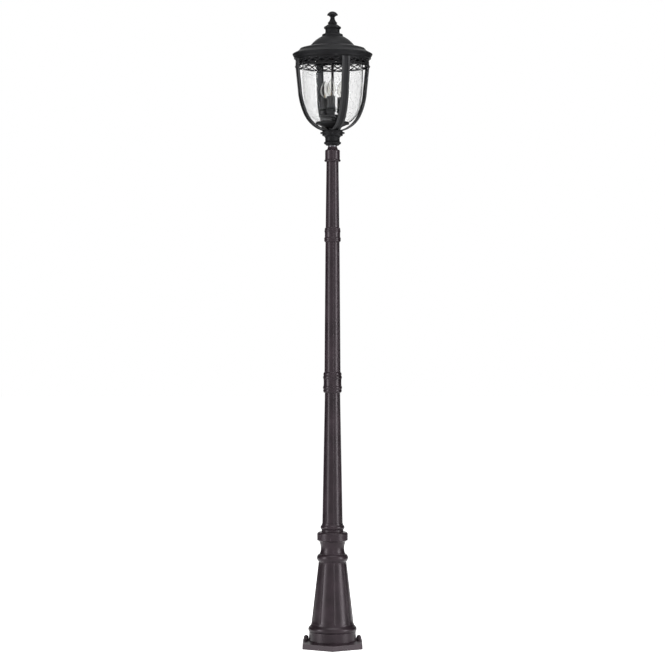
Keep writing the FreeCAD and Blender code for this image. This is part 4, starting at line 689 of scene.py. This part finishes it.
def seedTree():
    tree, size = startTree("glassSeeds", seeds)
    flat = addNode(tree, "ShaderNodeVectorMath", {"operation": "MULTIPLY"},
                   i0=addNode(tree, "GeometryNodeInputPosition"), i1=(1.0, 1.0, 0.0))
    outward = addNode(tree, "ShaderNodeVectorMath", {"operation": "DOT_PRODUCT"}, i0=flat,
                      i1=addNode(tree, "GeometryNodeInputNormal")).outputs["Value"]
    spots = addNode(tree, "GeometryNodeDistributePointsOnFaces", Mesh=size["Geometry"], Selection=outward,
                    Density=size["Density"], Seed=size["Seed"])
    depth = addNode(tree, "ShaderNodeMath", {"operation": "MULTIPLY"}, i0=size["Depth"], i1=-1.0)
    inward = addNode(tree, "ShaderNodeVectorMath", {"operation": "SCALE"}, i0=spots.outputs["Normal"],
                     Scale=depth)
    inside = addNode(tree, "GeometryNodeSetPosition", Geometry=spots, Offset=inward)
    drop = addNode(tree, "GeometryNodeMeshIcoSphere", Radius=1.0, Subdivisions=2)
    tall = addNode(tree, "ShaderNodeCombineXYZ", X=1.0, Y=1.0, Z=size["Stretch"])
    bubble = addNode(tree, "GeometryNodeTransform", Geometry=drop, Scale=tall)
    width = addNode(tree, "FunctionNodeRandomValue", {"data_type": "FLOAT"}, i2=size["Smallest"],
                    i3=size["Largest"], i8=size["Seed"]).outputs[1]
    copies = addNode(tree, "GeometryNodeInstanceOnPoints", Points=inside, Instance=bubble, Scale=width)
    return finishTree(tree, copies, seedGlass)


wall = bmesh.new()
wall.from_mesh(bowl.data)
bubbles = growPiece("glass_bowl_seeds", seedTree(), seeds, wall)
bubbles.data.shade_smooth()
dress(bubbles, "glass_bowl", material=seedGlass)
print("glass seeds:", len(bubbles.data.polygons), "faces")

# lamp insides: a glass stem, two lead wires, and a filament that zigzags round them as a cage
stem = {"foot": 3.0 * mm, "top": 1.6 * mm, "height": 34.0 * mm, "ease": 0.4, "steps": 32}
cage = {
    "Points": 6, "Low radius": 5.2 * mm, "High radius": 8.6 * mm, "Start": 38.0 * mm, "Rise": 30.0 * mm,
    "Wire": 0.35 * mm,
}


def cageTree(foot):
    tree, size = startTree("filamentCage", cage)
    turn = addNode(tree, "ShaderNodeMath", {"operation": "MULTIPLY"},
                   i0=addNode(tree, "GeometryNodeSplineParameter").outputs["Factor"], i1=2 * math.pi)
    upper = addNode(tree, "ShaderNodeMath", {"operation": "MODULO"},
                    i0=addNode(tree, "GeometryNodeInputIndex"), i1=2.0)
    spread = addNode(tree, "ShaderNodeMath", {"operation": "SUBTRACT"}, i0=size["High radius"],
                     i1=size["Low radius"])
    radius = addNode(tree, "ShaderNodeMath", {"operation": "MULTIPLY_ADD"}, i0=upper, i1=spread,
                     i2=size["Low radius"])
    height = addNode(tree, "ShaderNodeMath", {"operation": "MULTIPLY_ADD"}, i0=upper, i1=size["Rise"],
                     i2=size["Start"])
    x = addNode(tree, "ShaderNodeMath", {"operation": "MULTIPLY"}, i0=radius,
                i1=addNode(tree, "ShaderNodeMath", {"operation": "COSINE"}, i0=turn))
    y = addNode(tree, "ShaderNodeMath", {"operation": "MULTIPLY"}, i0=radius,
                i1=addNode(tree, "ShaderNodeMath", {"operation": "SINE"}, i0=turn))
    ring = addNode(tree, "GeometryNodeCurvePrimitiveCircle", Resolution=size["Points"])
    zigzag = addNode(tree, "GeometryNodeSetPosition", Geometry=ring,
                     Position=addNode(tree, "ShaderNodeCombineXYZ", X=x, Y=y, Z=height))
    wires = addNode(tree, "GeometryNodeJoinGeometry")
    tree.links.new(zigzag.outputs[0], wires.inputs[0])
    for side in (1.0, -1.0):
        reach = addNode(tree, "ShaderNodeMath", {"operation": "MULTIPLY"}, i0=size["Low radius"],
                        i1=side)
        end = addNode(tree, "ShaderNodeCombineXYZ", X=reach, Y=0.0, Z=size["Start"])
        lead = addNode(tree, "GeometryNodeCurvePrimitiveLine", End=end,
                       Start=(side * 0.6 * stem["top"], 0.0, stem["height"] - mm))
        tree.links.new(lead.outputs[0], wires.inputs[0])
    profile = addNode(tree, "GeometryNodeCurvePrimitiveCircle", Resolution=6, Radius=size["Wire"])
    tubes = addNode(tree, "GeometryNodeCurveToMesh", Curve=wires, Profile_Curve=profile, Fill_Caps=True)
    placed = addNode(tree, "GeometryNodeTransform", Geometry=tubes, Translation=foot)
    return finishTree(tree, placed, tungsten)


for number in (1, 2, 3):
    node = f"lamp_filament_{number}"
    foot = nodeAxis(f"lamp_glass_{number}") + Vector((0, 0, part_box(node)[0].z))
    wires = growPiece(f"lamp_wires_{number}", cageTree(foot), cage)
    wires.data.shade_smooth()
    dress(wires, node, material=tungsten)
    outline = [(0, 0), (stem["foot"], 0), (stem["top"], stem["height"]), (0, stem["height"])]
    points = easeCorners([Vector(corner) for corner in outline], stem["ease"] * mm)
    column = spinOutline(bmesh.new(), points, evenAngles(stem["steps"]), axis=foot)
    dress(shadeSmooth(meshObject(f"lamp_stem_{number}", column)), node)
print("lamp insides: done")

# stage, light and camera, at the photograph's own eye level
studio = {
    "focal": 113.68, "sensor": 36.0, "distance": 7.931, "height": 1.193, "floorSize": 60.0,
    "aimHeight": 1.2, "fill": 0.1, "floorGlow": 0.92, "floorDeep": "f7f7f7", "floorPale": "fbfbfb",
    "floorCloud": 900.0, "floorGap": 0.5,
}
# plan ends and height of the black card on the right; the left one mirrors it
cards = {
    "ends": ((2.9, -0.7), (1.2, 2.4)), "height": 4.2, "deep": "050505", "pale": "0a0a0a", "cloud": 400.0,
}
softBoxes = {
    "overhead": {"place": (0.3, -1.2, 5.6), "size": (3.0, 3.0), "power": 115.0},
    "frontKey": {"place": (1.6, -6.4, 2.4), "size": (1.2, 2.4), "power": 50.0},
    "sideLeft": {"place": (-4.4, -2.0, 1.5), "size": (1.2, 3.4), "power": 200.0},
    "sideRight": {"place": (4.4, -2.0, 1.5), "size": (1.2, 3.4), "power": 212.0},
}


def backgroundRays(tree):
    # 1 for the rays that show the background: the camera's, those through glass and those in gloss
    path = addNode(tree, "ShaderNodeLightPath")
    seen = addNode(tree, "ShaderNodeMath", {"operation": "MAXIMUM"}, i0=path.outputs["Is Camera Ray"],
                   i1=path.outputs["Is Transmission Ray"])
    return addNode(tree, "ShaderNodeMath", {"operation": "MAXIMUM"}, i0=seen,
                   i1=path.outputs["Is Glossy Ray"])


def paleFloor():
    # matte white sweep: it keeps the contact shadow, and camera, gloss and glass see it as clean white
    material, tree = newMaterial("matteWhiteSweep")
    place = addNode(tree, "ShaderNodeTexCoord").outputs["Object"]
    cloud = addNode(tree, "ShaderNodeTexNoise", Vector=place, Scale=perMetre(studio["floorCloud"]))
    tone = addNode(tree, "ShaderNodeValToRGB", {"stops": [(0.3, linearColour(studio["floorDeep"])),
                   (0.7, linearColour(studio["floorPale"]))]}, Fac=cloud)
    diffuse = addNode(tree, "ShaderNodeBsdfDiffuse", Color=tone)
    glow = addNode(tree, "ShaderNodeEmission", Color=linearColour("ffffff"), Strength=studio["floorGlow"])
    both = addNode(tree, "ShaderNodeAddShader", i0=diffuse, i1=glow)
    shader = addNode(tree, "ShaderNodeMixShader", i0=backgroundRays(tree), i1=diffuse, i2=both)
    addNode(tree, "ShaderNodeOutputMaterial", Surface=shader)
    mesh = bmesh.new()
    bmesh.ops.create_grid(mesh, x_segments=1, y_segments=1, size=studio["floorSize"] / 2)
    bmesh.ops.translate(mesh, verts=mesh.verts, vec=(0, 0, -studio["floorGap"] * mm))
    floor = meshObject("studioFloor", mesh)
    floor.data.materials.append(material)


def paleWorld():
    # white to the camera, in gloss and through glass, and a soft grey fill for matt light
    world = bpy.data.worlds.new("studioWorld")
    bpy.context.scene.world = world
    world.use_nodes = True
    tree = world.node_tree
    tree.nodes.clear()
    strength = addNode(tree, "ShaderNodeMath", {"operation": "MAXIMUM"}, i0=backgroundRays(tree),
                       i1=studio["fill"])
    back = addNode(tree, "ShaderNodeBackground", Color=linearColour("ffffff"), Strength=strength)
    addNode(tree, "ShaderNodeOutputWorld", Surface=back)


def darkCards():
    # black cards stand beside the post: only gloss sees them, and it turns round pieces dark towards
    # their sides
    material, tree = newMaterial("matteBlackCard")
    place = addNode(tree, "ShaderNodeTexCoord").outputs["Object"]
    cloud = addNode(tree, "ShaderNodeTexNoise", Vector=place, Scale=perMetre(cards["cloud"]))
    tone = addNode(tree, "ShaderNodeValToRGB", {"stops": [(0.3, linearColour(cards["deep"])),
                   (0.7, linearColour(cards["pale"]))]}, Fac=cloud)
    shader = addNode(tree, "ShaderNodeBsdfDiffuse", Color=tone)
    addNode(tree, "ShaderNodeOutputMaterial", Surface=shader)
    for side in (-1, 1):
        mesh = bmesh.new()
        ends = [(side * x, y) for x, y in cards["ends"]]
        corners = [(*ends[0], 0), (*ends[1], 0), (*ends[1], cards["height"]), (*ends[0], cards["height"])]
        mesh.faces.new([mesh.verts.new(corner) for corner in corners])
        card = meshObject("darkCard", mesh)
        card.data.materials.append(material)
        for ray in ("camera", "diffuse", "transmission", "shadow"):
            setattr(card, "visible_" + ray, False)


def hangSoftBox(name, box):
    light = bpy.data.lights.new(name, "AREA")
    light.shape = "RECTANGLE"
    light.size, light.size_y = box["size"]
    light.energy = box["power"]
    lamp = bpy.data.objects.new(name, light)
    bpy.context.scene.collection.objects.link(lamp)
    lamp.location = box["place"]
    aim = Vector((0, 0, studio["aimHeight"])) - Vector(box["place"])
    lamp.rotation_euler = aim.to_track_quat("-Z", "Y").to_euler()


def photoCamera():
    data = bpy.data.cameras.new("photoCamera")
    data.lens = studio["focal"]
    data.sensor_width = studio["sensor"]
    camera = bpy.data.objects.new("photoCamera", data)
    bpy.context.scene.collection.objects.link(camera)
    camera.location = (0, -studio["distance"], studio["height"])
    camera.rotation_euler = (math.radians(90), 0, 0)
    bpy.context.scene.camera = camera


photoCamera()
paleFloor()
paleWorld()
darkCards()
for boxName, box in softBoxes.items():
    hangSoftBox(boxName, box)
bpy.context.scene.view_settings.view_transform = "Standard"
print("stage: done")
